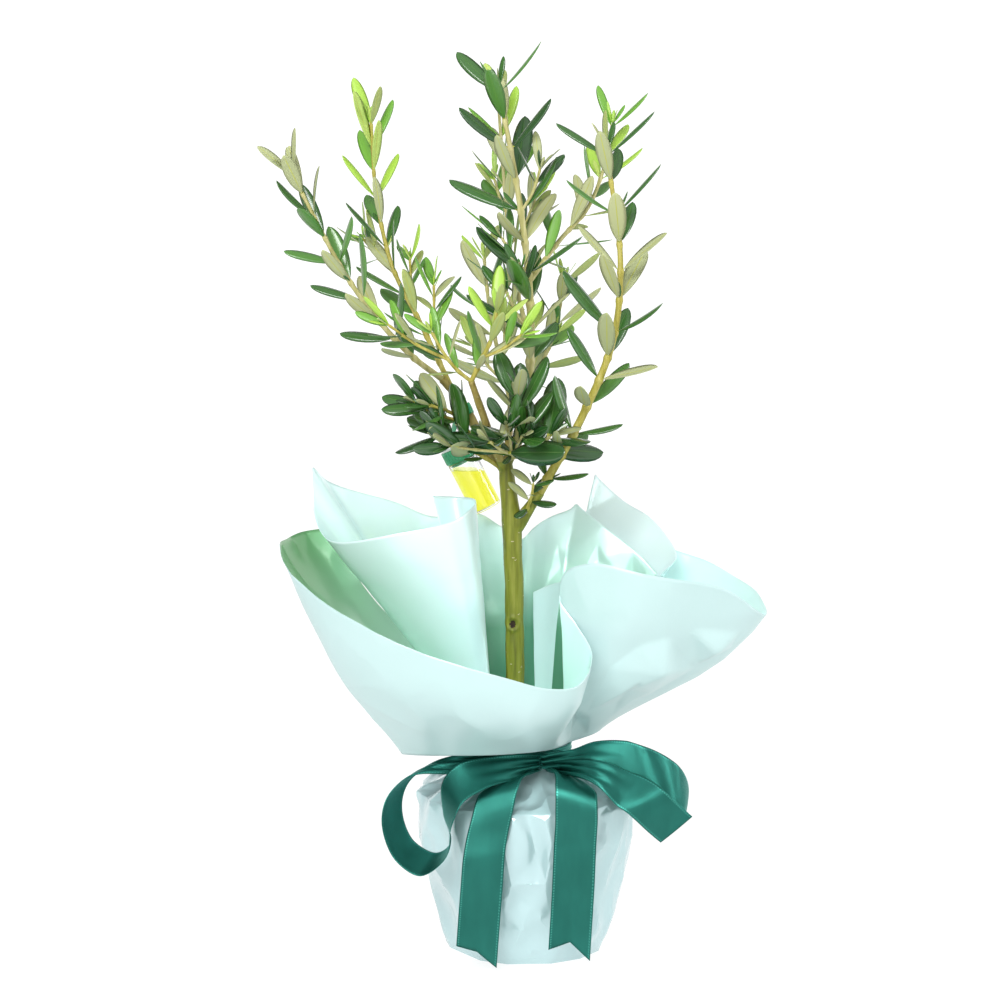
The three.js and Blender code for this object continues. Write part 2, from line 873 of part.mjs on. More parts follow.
// Places of all leaves and twigs on one shoot. Each pair draws the same count of random numbers.
function growShoot(shoot) {
  const random = seeded(shoot.seed);
  const draw = () => random(0.5) + 0.5;
  const curve = curveThrough(shoot.path);
  const length = curve.getLength();
  const light = vector(shoot.faces).normalize();
  const leaves = [];
  const twigs = [];
  let back = TIP_PAIR;
  for (let pair = 0; back < length - shoot.first; pair += 1) {
    const share = 1 - back / length;
    const { point, along, front, side } = frameAt(curve, share);
    for (const half of [0, 1]) {
      const azimuth = radians(shoot.phase + 90 * pair + 180 * half + random(LEAF_TURN.azimuth));
      const open = radians(readAlong(shoot.open, share) + random(LEAF_TURN.open));
      const long = readAlong(shoot.leaf, share) * (1 + random(LEAF_TURN.length));
      const slim = LEAF_SLIM * (1 + random(LEAF_TURN.width));
      const bend = random(LEAF_TURN.bend);
      const turn = LEAF_FACING + random(LEAF_TURN.facing);
      const out = front.clone().multiplyScalar(Math.cos(azimuth)).addScaledVector(side, Math.sin(azimuth));
      const way = along.clone().multiplyScalar(Math.cos(open)).addScaledVector(out, Math.sin(open));
      const face = along.clone().multiplyScalar(Math.sin(open)).addScaledVector(out, -Math.cos(open));
      face.addScaledVector(light, turn).addScaledVector(way, -turn * light.dot(way)).normalize();
      if (shoot.lowest === undefined || point.z + way.z * long > shoot.lowest) {
        leaves.push({ point, way, face, long, wide: long * slim, bend });
      }
    }
    const chance = draw();
    const azimuth = radians(shoot.phase + 90 * pair + 180 * Math.round(draw()));
    const reach = readAlong(TWIG.length, draw());
    if (chance < shoot.twigs && share < TWIG.below) {
      twigs.push(twigShoot(shoot, { point, along, front, side }, azimuth, reach, pair));
    }
    back += shoot.gap * (1 + random(GAP_STRAY));
  }
  return { curve, leaves, twigs };
}

function twigShoot(shoot, { point, along, front, side }, azimuth, reach, pair) {
  const out = front.clone().multiplyScalar(Math.cos(azimuth)).addScaledVector(side, Math.sin(azimuth));
  const lean = radians(TWIG.lean);
  const way = along.clone().multiplyScalar(Math.cos(lean)).addScaledVector(out, Math.sin(lean));
  const middle = point.clone().addScaledVector(way, reach / 2);
  const tip = point.clone().addScaledVector(way, reach * TWIG.straight);
  tip.addScaledVector(along, reach * TWIG.rise);
  return {
    path: [point.toArray(), middle.toArray(), tip.toArray()],
    thick: TWIG.thick,
    first: reach * TWIG.bare,
    gap: TWIG.gap,
    leaf: TWIG.leaf,
    open: TWIG.open,
    phase: TWIG.phase,
    twigs: 0,
    faces: shoot.faces,
    lowest: shoot.lowest,
    seed: shoot.seed + TWIG.seedStep * (pair + 1),
  };
}

function leafSolid({ point, way, face, long, wide, bend }, grow = 0) {
  const side = new THREE.Vector3().crossVectors(way, face);
  const middleAt = (share) =>
    point.clone().addScaledVector(way, long * share).addScaledVector(face, bend * long * share * share);
  const ringAt = (share, half) => {
    const middle = middleAt(share).addScaledVector(face, grow);
    return [
      middle.clone().addScaledVector(side, -half - grow),
      middle.clone().addScaledVector(side, half + grow),
      middle.clone().addScaledVector(face, -LEAF_THICK - 2 * grow),
    ];
  };
  const rings = [ringAt(0, LEAF_STALK)];
  for (const [share, width] of LEAF_STATIONS) {
    rings.push(ringAt(share, (wide / 2) * width));
  }
  return skin(rings, middleAt(1).addScaledVector(way, grow));
}

function stemSolid(shoot, grow = 0) {
  return limbSolid({ path: shoot.path, radii: shoot.thick, sides: STEM_SIDES }, grow, STEM_STEP);
}

// Things that a new leaf or twig has to stay clear of
const obstacles = [];

function addObstacle(solid, owner) {
  const { min, max } = solid.boundingBox();
  obstacles.push({ solid, owner, min, max });
}

function isClear(solid, owner) {
  const { min, max } = solid.boundingBox();
  const near = obstacles.filter((other) => {
    const apart = [0, 1, 2].some((k) => other.min[k] > max[k] || other.max[k] < min[k]);
    return !apart && other.owner !== owner;
  });
  return near.every((other) => solid.intersect(other.solid).isEmpty());
}

// Trunk and boughs, each cut clear of those before it, then the foliage on them

function addLimbs() {
  const grown = [];
  for (const [name, limb] of Object.entries(LIMBS)) {
    const cut = grown.reduce((solid, other) => solid.subtract(other), limbSolid(limb));
    addPiece(name, geometryOf(largestBody(cut)), LOOKS.bark);
    grown.push(limbSolid(limb, FIT));
    addObstacle(grown.at(-1), name);
  }
  return grown;
}

function addFoliage(limbs) {
  for (const [name, shoots] of Object.entries(MASSES)) {
    for (const shoot of shoots) {
      addObstacle(stemSolid(shoot, FIT), name);
    }
  }
  for (const [name, shoots] of Object.entries(MASSES)) {
    const stems = wasm.Manifold.union(shoots.map((shoot) => stemSolid(shoot)));
    const pieces = [largestBody(limbs.reduce((solid, limb) => solid.subtract(limb), stems))];
    const grown = shoots.map(growShoot);
    for (const twig of grown.flatMap((shoot) => shoot.twigs)) {
      if (isClear(stemSolid(twig, FIT), name)) {
        pieces.push(stemSolid(twig));
        grown.push(growShoot(twig));
      }
    }
    const leaves = grown.flatMap((shoot) => shoot.leaves);
    const placed = leaves.filter((leaf) => isClear(leafSolid(leaf, LEAF_CLEAR), name));
    for (const leaf of placed) {
      pieces.push(leafSolid(leaf));
    }
    const mass = wasm.Manifold.union(pieces);
    addObstacle(mass, name);
    addPiece(name, geometryOf(largestBody(mass)), LOOKS.leaf);
  }
}

// Vial

const vialFrame = new THREE.Matrix4()
  .makeRotationY(radians(-VIAL_TILT))
  .setPosition(...VIAL_FOOT);

function addVial() {
  const inner = VIAL_RADIUS - VIAL_WALL;
  const glass = [
    [0, 0],
    [VIAL_RADIUS - VIAL_BASE, 0],
    [VIAL_RADIUS, VIAL_BASE],
    [VIAL_RADIUS, VIAL_LENGTH],
    [inner, VIAL_LENGTH],
    [inner, VIAL_BASE + VIAL_BEVEL],
    [inner - VIAL_BEVEL, VIAL_BASE],
    [0, VIAL_BASE],
  ];
  const capRadius = VIAL_RADIUS + CAP_OUT;
  const capTop = VIAL_LENGTH + VIAL_CAP_HEIGHT;
  const cap = [
    [0, VIAL_LENGTH - CAP_PLUG],
    [inner - FIT, VIAL_LENGTH - CAP_PLUG],
    [inner - FIT, VIAL_LENGTH + FIT],
    [capRadius, VIAL_LENGTH + FIT],
    [capRadius, capTop - VIAL_BEVEL],
    [capRadius - VIAL_BEVEL, capTop],
    [0, capTop],
  ];
  const group = new THREE.Group();
  group.applyMatrix4(vialFrame);
  addPiece('vial_glass', turned(glass, VIAL_SIDES), LOOKS.glass, group);
  addPiece('vial_oil', geometryOf(oilSolid(inner - FIT, VIAL_BASE + FIT)), LOOKS.oil, group);
  addPiece('vial_cap', turned(cap, VIAL_SIDES), LOOKS.cap, group);
  part.add(group);
  const hull = [[0, -FIT], [capRadius + FIT, -FIT], [capRadius + FIT, capTop + FIT], [0, capTop + FIT]];
  addObstacle(solidOf(turned(hull, VIAL_SIDES).applyMatrix4(vialFrame)), 'vial');
}

// Closed loop: up from the cap past one side of the bough, round it and down its other side
function tieSolid(grow = 0) {
  const bough = curveThrough(LIMBS.bough_left.path);
  const around = vector(TIE_ROUND);
  const along = bough.getTangentAt(TIE_PLACE);
  const lift = TIE_RADIUS + FIT;
  const foot = new THREE.Vector3(0, 0, VIAL_LENGTH + VIAL_CAP_HEIGHT + lift).applyMatrix4(vialFrame);
  const up = around.clone().sub(foot).normalize();
  const aside = new THREE.Vector3().crossVectors(along, up).normalize();
  const over = new THREE.Vector3().crossVectors(aside, along).normalize();
  const clear = Math.max(...LIMBS.bough_left.radii) + lift;
  const beside = (start, share, side) => start.clone().addScaledVector(aside, share * side);
  const turn = [
    beside(around, clear, 1),
    around.clone().addScaledVector(over, clear),
    beside(around, clear, -1),
  ];
  const points = [beside(foot, clear / 2, -1), beside(foot, clear / 2, 1), ...turn];
  const loop = new THREE.CatmullRomCurve3(points, true, 'centripetal');
  const rings = [];
  for (let i = 0; i < TIE_STEPS; i += 1) {
    const point = loop.getPointAt(i / TIE_STEPS);
    const across = new THREE.Vector3().crossVectors(loop.getTangentAt(i / TIE_STEPS), along).normalize();
    const ring = [];
    for (let k = 0; k < TIE_SIDES; k += 1) {
      const angle = (2 * Math.PI * k) / TIE_SIDES;
      const spoke = across.clone().multiplyScalar(Math.cos(angle)).addScaledVector(along, Math.sin(angle));
      ring.push(point.clone().addScaledVector(spoke, TIE_RADIUS + grow));
    }
    rings.push(ring);
  }
  return closedTube(rings);
}

// Filling with a level top, in the tilted frame of the vial
function oilSolid(radius, low) {
  const ringAt = (size, height, slope) => {
    const ring = [];
    for (let k = 0; k < VIAL_SIDES; k += 1) {
      const angle = (2 * Math.PI * k) / VIAL_SIDES;
      const x = size * Math.cos(angle);
      ring.push(new THREE.Vector3(x, size * Math.sin(angle), height + slope * x));
    }
    return ring;
  };
  const slope = -Math.tan(radians(VIAL_TILT));
  const foot = ringAt(radius - VIAL_BEVEL, low, 0);
  const wall = ringAt(radius, low + VIAL_BEVEL, 0);
  return skin([foot, wall, ringAt(radius, VIAL_FILL, slope)]);
}

// Assembly

addPiece('pot', makePot(), LOOKS.pot);
addPiece('soil', makeSoil(), LOOKS.soil);
addPiece('film_wrap', geometryOf(makeWrap()), LOOKS.film);
for (const [name, collar] of Object.entries(SHEETS)) {
  addPiece(name, geometryOf(collarSheet(collar)), LOOKS.film);
}
addRibbon();
addVial();
const limbs = addLimbs();
addPiece('vial_tie', geometryOf(tieSolid()), LOOKS.cap);
addObstacle(tieSolid(FIT), 'vial_tie');
addFoliage(limbs);

export default part;
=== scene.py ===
# Young olive tree in a gift-wrapped pot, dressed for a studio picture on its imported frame.
# Sizes are named in millimetres and meshes are made in metres. +Z is up and the front is towards -Y.

import math

import bpy
import numpy as np
from mathutils import Matrix, Vector, geometry, noise


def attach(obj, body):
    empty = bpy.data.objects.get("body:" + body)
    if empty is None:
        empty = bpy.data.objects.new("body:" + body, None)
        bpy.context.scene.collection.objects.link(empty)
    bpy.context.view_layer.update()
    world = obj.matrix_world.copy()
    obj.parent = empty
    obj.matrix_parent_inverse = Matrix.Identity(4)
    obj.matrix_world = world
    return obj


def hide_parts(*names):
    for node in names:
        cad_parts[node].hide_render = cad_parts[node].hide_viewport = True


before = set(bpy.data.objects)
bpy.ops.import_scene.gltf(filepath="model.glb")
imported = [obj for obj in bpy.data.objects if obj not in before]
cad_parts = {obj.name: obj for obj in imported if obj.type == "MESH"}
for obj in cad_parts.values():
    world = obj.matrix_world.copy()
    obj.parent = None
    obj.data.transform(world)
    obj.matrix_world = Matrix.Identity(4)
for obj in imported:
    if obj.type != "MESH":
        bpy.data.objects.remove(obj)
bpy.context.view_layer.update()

MM = 0.001
BODY = "root"

# Camera and studio
CAMERA_PLACE = (-16, -1600, 489)
CAMERA_DOWN = 7.6
CAMERA_LENS = 96
CAMERA_SENSOR = 36
FLOOR_SIZE = 60000
WORLD_BRIGHT = 0.92
WORLD_DIM = 0.26
WORLD_WAY = (0.25, -0.6, 0.76)
WORLD_FADE = (0.1, 1)
WALL_BACK = 3200
WALL_HEIGHT = 1600
WHITE = (1, 1, 1, 1)
FLOOR_LOOK = {
    "color": (0.25, 0.25, 0.25), "roughness": 0.6, "Specular_IOR_Level": 0.1,
    "Emission_Color": WHITE, "Emission_Strength": 0.82,
}
WALL_LOOK = {
    "color": (0.2, 0.2, 0.2), "roughness": 0.8, "Specular_IOR_Level": 0,
    "Emission_Color": WHITE, "Emission_Strength": 0.96,
}
LIGHT_TARGET = (0, 0, 250)
LIGHTS = {
    "key": {"place": (-500, -1700, 1400), "size": (1000, 700), "power": 33},
    "low": {"place": (-200, -1800, 450), "size": (1300, 450), "power": 3},
    "right": {"place": (1500, 100, 750), "size": (300, 600), "power": 7},
}

# Pot and soil, inside the wrap. Crumbs are amount, size and shift of a noise.
POT_FLOOR = 1.1
POT_HEIGHT = 91
POT_BASE_RADIUS = 44
POT_RIM_RADIUS = 61
POT_WALL = 2
POT_LIP_OUT = 2.5
POT_LIP_HEIGHT = 8
POT_CLEAR = 0.8
POT_LIP_SLOPE = 4
POT_BEVEL = 0.9
SOIL_TOP = 86.1
SOIL_RADIUS = 56.5
SOIL_FOOT_RADIUS = 41.6
SOIL_FOOT = 3.7
SOIL_EDGE = 1
SOIL_RINGS = 90
SOIL_MIDDLE = 0.3
SOIL_CRUMBS = {"coarse": (1, 3.4, 2), "fine": (0.6, 1.6, 8)}
SOIL_RISE = 2.6
SOIL_SINK = 1.4

# Film: thickness, how deep light goes into it, how much it shines like pearl, and the look of each film.
# A film with painted shade changes its colour along an axis, between two places on it: dark green where the
# collar's folds shade it, pale where light reaches it.
FILM = 0.25
FILM_DEPTH = 1.5
FILM_PEARL = 0.3
FILM_IOR = 1.5
FILM_CLOUDS = {"scale": 26, "detail": 4, "places": (0.3, 0.7)}
# A film's glow is a painted glow in its own colours, standing in for light that comes through the thin film.
FILM_LOOKS = {
    "pearl": {
        "light": (0.5, 0.675, 0.67), "deep": (0.48, 0.66, 0.65), "roughness": 0.4,
        "clear": 0.08, "coat": 0.15, "pearl": 0.08, "glow": 0.03,
    },
    # pale: a much lighter copy of the same film, with painted light, for the roll and the strip where the
    # film is most brightly lit.
    "pale": {
        "light": (0.76, 0.96, 0.98), "deep": (0.74, 0.94, 0.955), "roughness": 0.36,
        "clear": 0.25, "coat": 0.3, "glow": 0.03,
    },
    "tight": {
        "light": (0.5, 0.68, 0.7), "deep": (0.48, 0.665, 0.68), "roughness": 0.26, "clear": 0, "coat": 0.5,
    },
}
# Look of the films with painted shade; they also get a stronger painted glow, in the same colours as their
# shade.
PAINTED_SHADE_LOOK = {"roughness": 0.34, "clear": 0.1, "coat": 0.4, "glow": 0.14}
# Painted shade: "inside" turns dark green towards the collar's left, and "deep" turns dark green towards the
# neck.
FILM_PAINTED_SHADES = {
    "inside": {
        "axis": "X",
        "span": (-140, 20),
        "stops": [(0, (0.1, 0.32, 0.11)), (0.45, (0.38, 0.67, 0.5)), (1, (0.68, 0.95, 0.92))],
    },
    "deep": {
        "axis": "Z",
        "span": (190, 262),
        "stops": [(0, (0.07, 0.26, 0.15)), (0.5, (0.43, 0.69, 0.6)), (1, (0.68, 0.9, 0.9))],
    },
}

# Wrap: outline as height and radius, rows of crease points as share of the shoulder's height and count round,
# the shoulder as height, radius and depth of its pleats, and soft forms as amount, size and shift of a noise
WRAP_HEIGHTS = (0, 11, 44, 74, 92, 97)
WRAP_RADII = (49.5, 54.5, 62.5, 67.5, 69, 66)
WRAP_ROWS = [(0.2, 10), (0.45, 10), (0.7, 11), (0.9, 16)]
WRAP_FOOT_POINTS = 13
WRAP_STRAY = {"around": 0.32, "up": 0.05, "in": 2.8, "out": 1.2, "foot": 2, "keep": 13, "seed": 5}
WRAP_DENT_RIM = 0.6
WRAP_TOP_KEEP = 3
WRAP_PLEATS = 15
WRAP_SHOULDER = [
    (97, 66, 1.6), (101, 58, 3.4), (107, 46, 3.4), (113, 34, 2), (119, 26.4, 0), (128, 26.4, 0),
]
WRAP_SPLITS = 9
WRAP_SOFT = {"broad": (1, 24, 5), "fine": (0.1, 6, 9), "crumple": (1.3, (13, 13, 34), 21)}
WRAP_HOLD = {"foot": 8, "neck": 6}
WRAP_WELD = 0.001
WRAP_DIGITS = 3
WRAP_ROUNDING = {"passes": 2, "share": 0.4}
CREASE_ANGLE = 15

# Collar: the neck, the front sheet's fold over the bow as bearing, radius and height, and how far the sheet
# swells out above it along the rim
NECK_HEIGHT = 128.8
NECK_OUTER_RADIUS = 26.3
NECK_MIDDLE_RADIUS = 25.8
NECK_INNER_RADIUS = 25.1
FOLD = [
    (-162, 79, 124), (-132, 67.5, 129), (-101, 56, 131), (-70, 44.5, 131), (-44, 35, 131), (-16, 45, 135),
    (16, 48, 137),
]
FOLD_SOFTENS = 24
FOLD_SHARE = 0.3
FOLD_ROWS = 0.24
CRUMPLE_STARTS = 0.35
SWELL = (11, 9.5, 8, 8, 6)
SWELL_PLACE = 1.35

# Rims of the collar's sheets: x, y, z and the bearing at the neck that each point rises from
RIM_FRONT = [
    (-120, 62, 250, -222),
    (-138, 44, 250, -212),
    (-147, 18, 249, -200),
    (-149, -10, 249, -188),
    (-140, -40, 237, -172),
    (-109, -74, 219, -152),
    (-62, -98, 201, -126),
    (-16, -106, 188, -104),
    (12, -102, 180, -90),
    (29, -90, 180, -80),
    (38, -72, 193, -72),
    (29, -54, 209, -66),
    (19, -46, 224, -60),
    (22, -50, 239, -54),
    (38, -60, 246, -46),
    (70, -68, 241, -34),
    (115, -52, 230, -16),
    (144, -18, 208, 2),
    (142, 20, 216, 18),
    (130, 42, 222, 28),
    (114, 60, 229, 38),
    (93, 76, 234, 48),
]
RIM_LEFT = [
    (-57, 8, 277, 228),
    (-43, 12, 276, 226),
    (-32, 2, 276, 222),
    (-32, -14, 274, 218),
    (-47, -38, 267, 208),
    (-82, -42, 260, 195),
    (-114, -20, 253, 182),
    (-124, -2, 256, 176),
    (-130, 14, 269, 169),
    (-131, 26, 292, 162),
    (-122, 38, 282, 154),
    (-81, 52, 267, 137),
    (-58, 54, 258, 127),
    (-30, 54, 260, 114),
    (-15, 50, 252, 104),
]
RIM_BACK = [
    (-34, 72, 236, 124),
    (-22, 66, 239, 114),
    (-11, 58, 241, 103),
    (-2, 51, 244, 94),
    (5, 52, 251, 90),
    (15, 57, 257, 84),
    (28, 59.4, 261.8, 76.5),
    (32, 60, 264.8, 74),
    (36, 57.2, 262, 71.5),
    (51, 48, 251, 62),
    (70, 38, 237, 50),
    (81, 30, 226, 40),
]
RIM_STRIP = [
    (85, 33, 226, 54),
    (94, 42, 234, 58),
    (88, 57, 246, 63),
    (78, 68, 256, 68),
    (63, 80, 264, 74),
    (47.5, 90.4, 277, 79.3),
    (45, 92, 279.6, 80),
    (44.2, 92.3, 276, 80.6),
    (40, 94, 255, 83),
]
RIM_INNER = [
    (20, -34, 231, -60),
    (13, -22, 227, -68),
    (4, -12, 221, -77),
]

# Sheets of the collar: rim, radius at the neck, film of the two faces, and crumple in mm
# The "pale" skin carries painted light, and the "deep" and "inside" skins carry painted shade.
SHEETS = {
    "film_front": {"rim": RIM_FRONT, "neck": NECK_OUTER_RADIUS, "skins": ("pearl", "inside"), "crumple": 0.7},
    "film_left": {"rim": RIM_LEFT, "neck": NECK_INNER_RADIUS, "skins": ("deep", "pale"), "crumple": 0.4},
    "film_back": {"rim": RIM_BACK, "neck": NECK_MIDDLE_RADIUS, "skins": ("deep", "pearl"), "crumple": 0.6},
    "film_strip": {"rim": RIM_STRIP, "neck": NECK_OUTER_RADIUS, "skins": ("pearl", "pale"), "crumple": 0.5},
    "film_inner": {"rim": RIM_INNER, "neck": NECK_INNER_RADIUS, "skins": ("deep", "pearl"), "crumple": 0.3},
}
FOLDED_SHEET = "film_front"
CRUMPLE = {"waves": 1.6, "wave_size": 48, "crease_size": 30, "crease_shift": 9, "shift": 3, "shift_step": 7}
CREASE = {"ridge": 0.5, "slope": 2.2}
SHEET_COLUMNS = 80
SHEET_STEPS = 24

# Dents in the film, in x and z from the front: the point, the corners round it, and how far it stands out
FRONT_DENTS = [
    ((79, 182), [(83, 200), (101, 177), (73, 159), (37, 153), (49, 182), (66, 196)], 9),
    ((111, 192), [(97, 205), (127, 200), (123, 189), (103, 180)], 7),
    ((60, 166), [(66, 176), (73, 164), (52, 148), (44, 156)], -4),
    ((31, 143), [(28, 154), (38, 147), (37, 136), (26, 136)], -6),
]
BACK_DENTS = [
    ((45, 232), [(36, 224), (45, 241), (55, 227), (46, 216)], -1.3),
    ((66, 225), [(58, 218), (66, 237), (75, 226), (68, 214)], -2),
    ((22, 226), [(12, 214), (20, 240), (32, 222), (24, 206)], 0.7),
]
COLLAR_DENTS = {"film_front": FRONT_DENTS, "film_back": BACK_DENTS}
WRAP_DENTS = [
    ((6, 70), [(-7, 95), (10, 99), (15, 77), (11, 55), (-9, 53), (-13, 77)], -4.6),
    ((-2, 42), [(-9, 54), (10, 54), (14, 34), (-4, 24), (-13, 38)], -2.4),
    ((46, 92), [(36, 104), (50, 108), (60, 92), (54, 72), (40, 76)], -3.6),
    ((48, 40), [(40, 70), (58, 66), (54, 24), (42, 20)], -2.6),
    ((-48, 74), [(-58, 94), (-42, 98), (-38, 66), (-46, 44), (-58, 58)], -4),
]

# Ribbon: width, thickness, and each run's rows of middle point, way across and share of the width
RIBBON_WIDTH = 25
RIBBON_THICK = 0.35
RIBBON_STEPS = 14
RIBBON_COLUMNS = 21
RIBBON_FOLDS = 2.6
RIBBON_FOLD_DEPTH = 3
RIBBON_CAMBER = 0.5
RIBBON_WAVE = 6
RIBBON_WAVES = 1.8
RIBBON_END = {"starts": 0.72, "runs": 0.28}
RIBBON_COLORS = {"dark": (0.013, 0.128, 0.101), "sheen": (0.018, 0.16, 0.128), "stitch": (0.05, 0.28, 0.23)}
RIBBON_LOOK = {
    "roughness": 0.33, "Anisotropic": 0.7, "Specular_IOR_Level": 1, "Metallic": 0.8,
    "Specular_Tint": (0.6, 1, 0.95, 1),
}
WEAVE = {"Scale": 28, "Distortion": 0.4, "bands_direction": "Y"}
WEAVE_STRETCH = (1, 4, 1)
WEAVE_BUMP = {"strength": 0.18, "distance": 0.0002}
RIBBON_CLOUDS = {"scale": 90, "detail": 3, "stretch": (1, 1, 0.3), "places": (0.35, 0.7)}
STITCH = {"place": 0.045, "half": 0.016, "gap": 0.03, "dash": 0.012}
BAND = {
    "radius": 26.7, "thick": 1, "low": 120, "high": 127, "rows": 15, "clear": 0.1,
    "fold_depth": 0.35, "folds": 2.1, "wave": 0.35, "waves": 3, "widths": 7,
}
KNOT = {
    "middle": (9, -31.5, 121.5), "radii": (8, 4.6, 5), "size": 0.92, "rows": 64, "columns": 48, "pole": 0.02,
    "fold_depth": 0.08, "folds": 9, "fold_fade": (0.6, 0.4), "waist": 0.1, "widths": 3,
}
RIBBON_RUNS = {
    "ribbon_left_tail": {
        "rows": [
            (4, -35, 118, 1, 0, 0.1, 0.28),
            (-7, -47, 114, 0.96, 0, 0.28, 0.8),
            (-16, -60, 107, 0.97, 0, 0.24, 1),
            (-21, -69, 96, 0.98, 0, 0.18, 1),
            (-25, -72, 77, 0.99, 0, 0.12, 1),
            (-27, -72, 53, 1, 0, 0.06, 1),
            (-30, -70, 11, 1, 0, 0.05, 1),
        ],
        "ends": (-8, -4, 7),
    },
    "ribbon_right_tail": {
        "rows": [
            (13.5, -35, 118, 1, 0, -0.1, 0.28),
            (22, -48, 116, 0.9, 0, -0.35, 0.7),
            (28, -63, 109, 0.96, 0, -0.2, 1),
            (29, -71, 97, 1, 0, 0, 1),
            (28, -72, 78, 1, 0, 0, 1),
            (27, -72, 53, 1, 0, 0, 1),
            (25, -70, 13, 1, 0, 0, 1),
        ],
        "ends": (-3, -8, 4),
    },
    "ribbon_left_loop": {
        "rows": [
            (8, -37.5, 121.5, 0, 0.35, 0.94, 0.34),
            (-13, -49, 121, -0.45, 0.6, 0.66, 0.75),
            (-34, -60, 119, -0.6, 0.64, 0.48, 1),
            (-47, -65, 110, -0.5, 0.84, 0.2, 1),
            (-51, -66, 93, -0.2, 0.98, 0, 1),
            (-49, -65, 76, 0.1, 0.98, 0.12, 1),
            (-59, -62, 66, 0.33, 0.88, 0.32, 1),
            (-73, -57, 73, 0.4, 0.88, 0.25, 1),
            (-79, -51, 90, 0.44, 0.88, 0.15, 1),
            (-75, -46, 105, 0.45, 0.88, 0.1, 1),
            (-60, -41, 117, 0.5, 0.84, 0.15, 0.9),
            (-32, -34, 121, 0.2, 0.6, 0.78, 0.5),
            (-17.5, -23.5, 122, 0, 0.2, 0.98, 0.3),
        ],
        "ends": (0, 0, 0),
    },
    "ribbon_right_loop": {
        "rows": [
            (9, -38, 122, 0, 0.35, 0.94, 0.3),
            (26, -44, 125.5, 0, 0.75, 0.66, 0.55),
            (40, -50, 127.5, 0, 0.6, 0.8, 0.8),
            (60, -53, 125.5, 0, 0.3, 0.95, 1),
            (74, -56, 121.5, -0.1, 0.35, 0.93, 1),
            (88, -56, 112, 0.1, 0.55, 0.83, 1),
            (95, -51, 103, 0.15, 0.82, 0.55, 1),
            (94, -44, 95, 0.15, 0.88, 0.45, 1),
            (84, -38, 99, -0.1, 0.9, 0.43, 0.9),
            (62, -36, 113, -0.2, 0.75, 0.62, 0.7),
            (38, -33, 121, -0.1, 0.5, 0.85, 0.45),
            (19, -23, 122, 0, 0.2, 0.98, 0.3),
        ],
        "ends": (0, 0, 0),
    },
    "ribbon_right_end": {
        "rows": [
            (15, -37.5, 119.5, 0.1, 0.3, 0.94, 0.2),
            (31, -57, 122, 0.2, 0.75, 0.62, 0.5),
            (47, -68, 119, 0.35, 0.72, 0.6, 0.8),
            (60, -73, 113, 0.55, 0.55, 0.62, 1),
            (72, -74, 104, 0.75, 0.3, 0.58, 1),
            (88, -70, 89, 0.86, 0.1, 0.5, 1),
        ],
        "ends": (2, 0, -2),
    },
}

# Trunk and boughs: middle line from root to tip, the radius along it, and the bark's relief and colours.
# A row of relief is the amount, size and shift of a noise.
TRUNK_FOOT = 86.4
LIMBS = {
    "trunk": {
        "path": [(-6, 0, TRUNK_FOOT), (-6.8, 0, 150), (-7.3, 0, 215), (-9, 0, 258), (-13, 0, 302)],
        "radii": (9.5, 6.2, 5.6, 5.4, 5.3, 5.3, 5.4, 5.3, 4.8, 3.6),
    },
    "bough_leader": {"path": [(-12.5, 0, 297), (-3, 2, 318), (2, 2, 345)], "radii": (3.2, 2.6)},
    "bough_left": {
        "path": [(-12.5, 0, 293), (-28, 6, 314), (-39, 9, 334), (-51, 9, 348)],
        "radii": (3, 2.1),
    },
    "bough_right": {"path": [(-9, 0, 254), (-1, -3, 267), (8, -6, 281)], "radii": (3.4, 2.8)},
    "bough_front": {"path": [(-12, 0, 290), (-22, -13, 317), (-33, -28, 350)], "radii": (2.3, 1.7)},
    "bough_back": {"path": [(-11.5, 0, 288), (-11, 17, 308), (-9, 34, 330)], "radii": (2.5, 1.9)},
}
LIMB_SIDES = 28
LIMB_STEP = 2
LIMB_LEAST = 4
BARK_FULL = 0.35
BARK_VOXEL = 0.5
BARK_RELIEF = {
    "streaks": (0.16, (2.6, 2.6, 16), 3),
    "knobs": (0.4, (9, 9, 14), 11),
    "grain": (0.09, (1.1, 1.1, 2.6), 5),
}
BARK_ROUGH = {"below": 130, "over": 40}
BARK_FOOT = 2
BOUGH_STARTS = 300
FORK = {"middle": (-5, -1, 262), "reach": 9, "rise": 1.2}
SCAR = {
    "middle": (-8.1, -5.5, 200.3), "half_width": 3, "half_height": 3.7,
    "rim": 0.9, "rim_place": 1.05, "rim_width": 0.4, "pit": 1.7, "pit_width": 0.62,
}
LENTICELS = {"count": 130, "size": 0.75, "rise": 0.22, "flat": (1, 1, 2.2), "pale": 0.7, "seed": 7}
FAR = 9
BARK_COLORS = {
    "bark_trunk": ((0.09, 0.1, 0.008), (0.18, 0.195, 0.014), (0.3, 0.3, 0.05)),
    "bark_bough": ((0.17, 0.125, 0.03), (0.3, 0.24, 0.06), (0.44, 0.38, 0.14)),
    "twig_pale": ((0.32, 0.3, 0.09), (0.46, 0.43, 0.17), (0.6, 0.56, 0.32)),
    "twig_yellow": ((0.24, 0.22, 0.03), (0.4, 0.35, 0.06), (0.52, 0.47, 0.16)),
}
BARK_LOOK = {"roughness": 0.5, "Specular_IOR_Level": 0.4}
BARK_STREAKS = {"scale": 120, "detail": 5, "stretch": (3, 3, 0.28), "places": (0.28, 0.5, 0.78)}
BARK_GRAIN_STRETCH = (1, 1, 0.35)

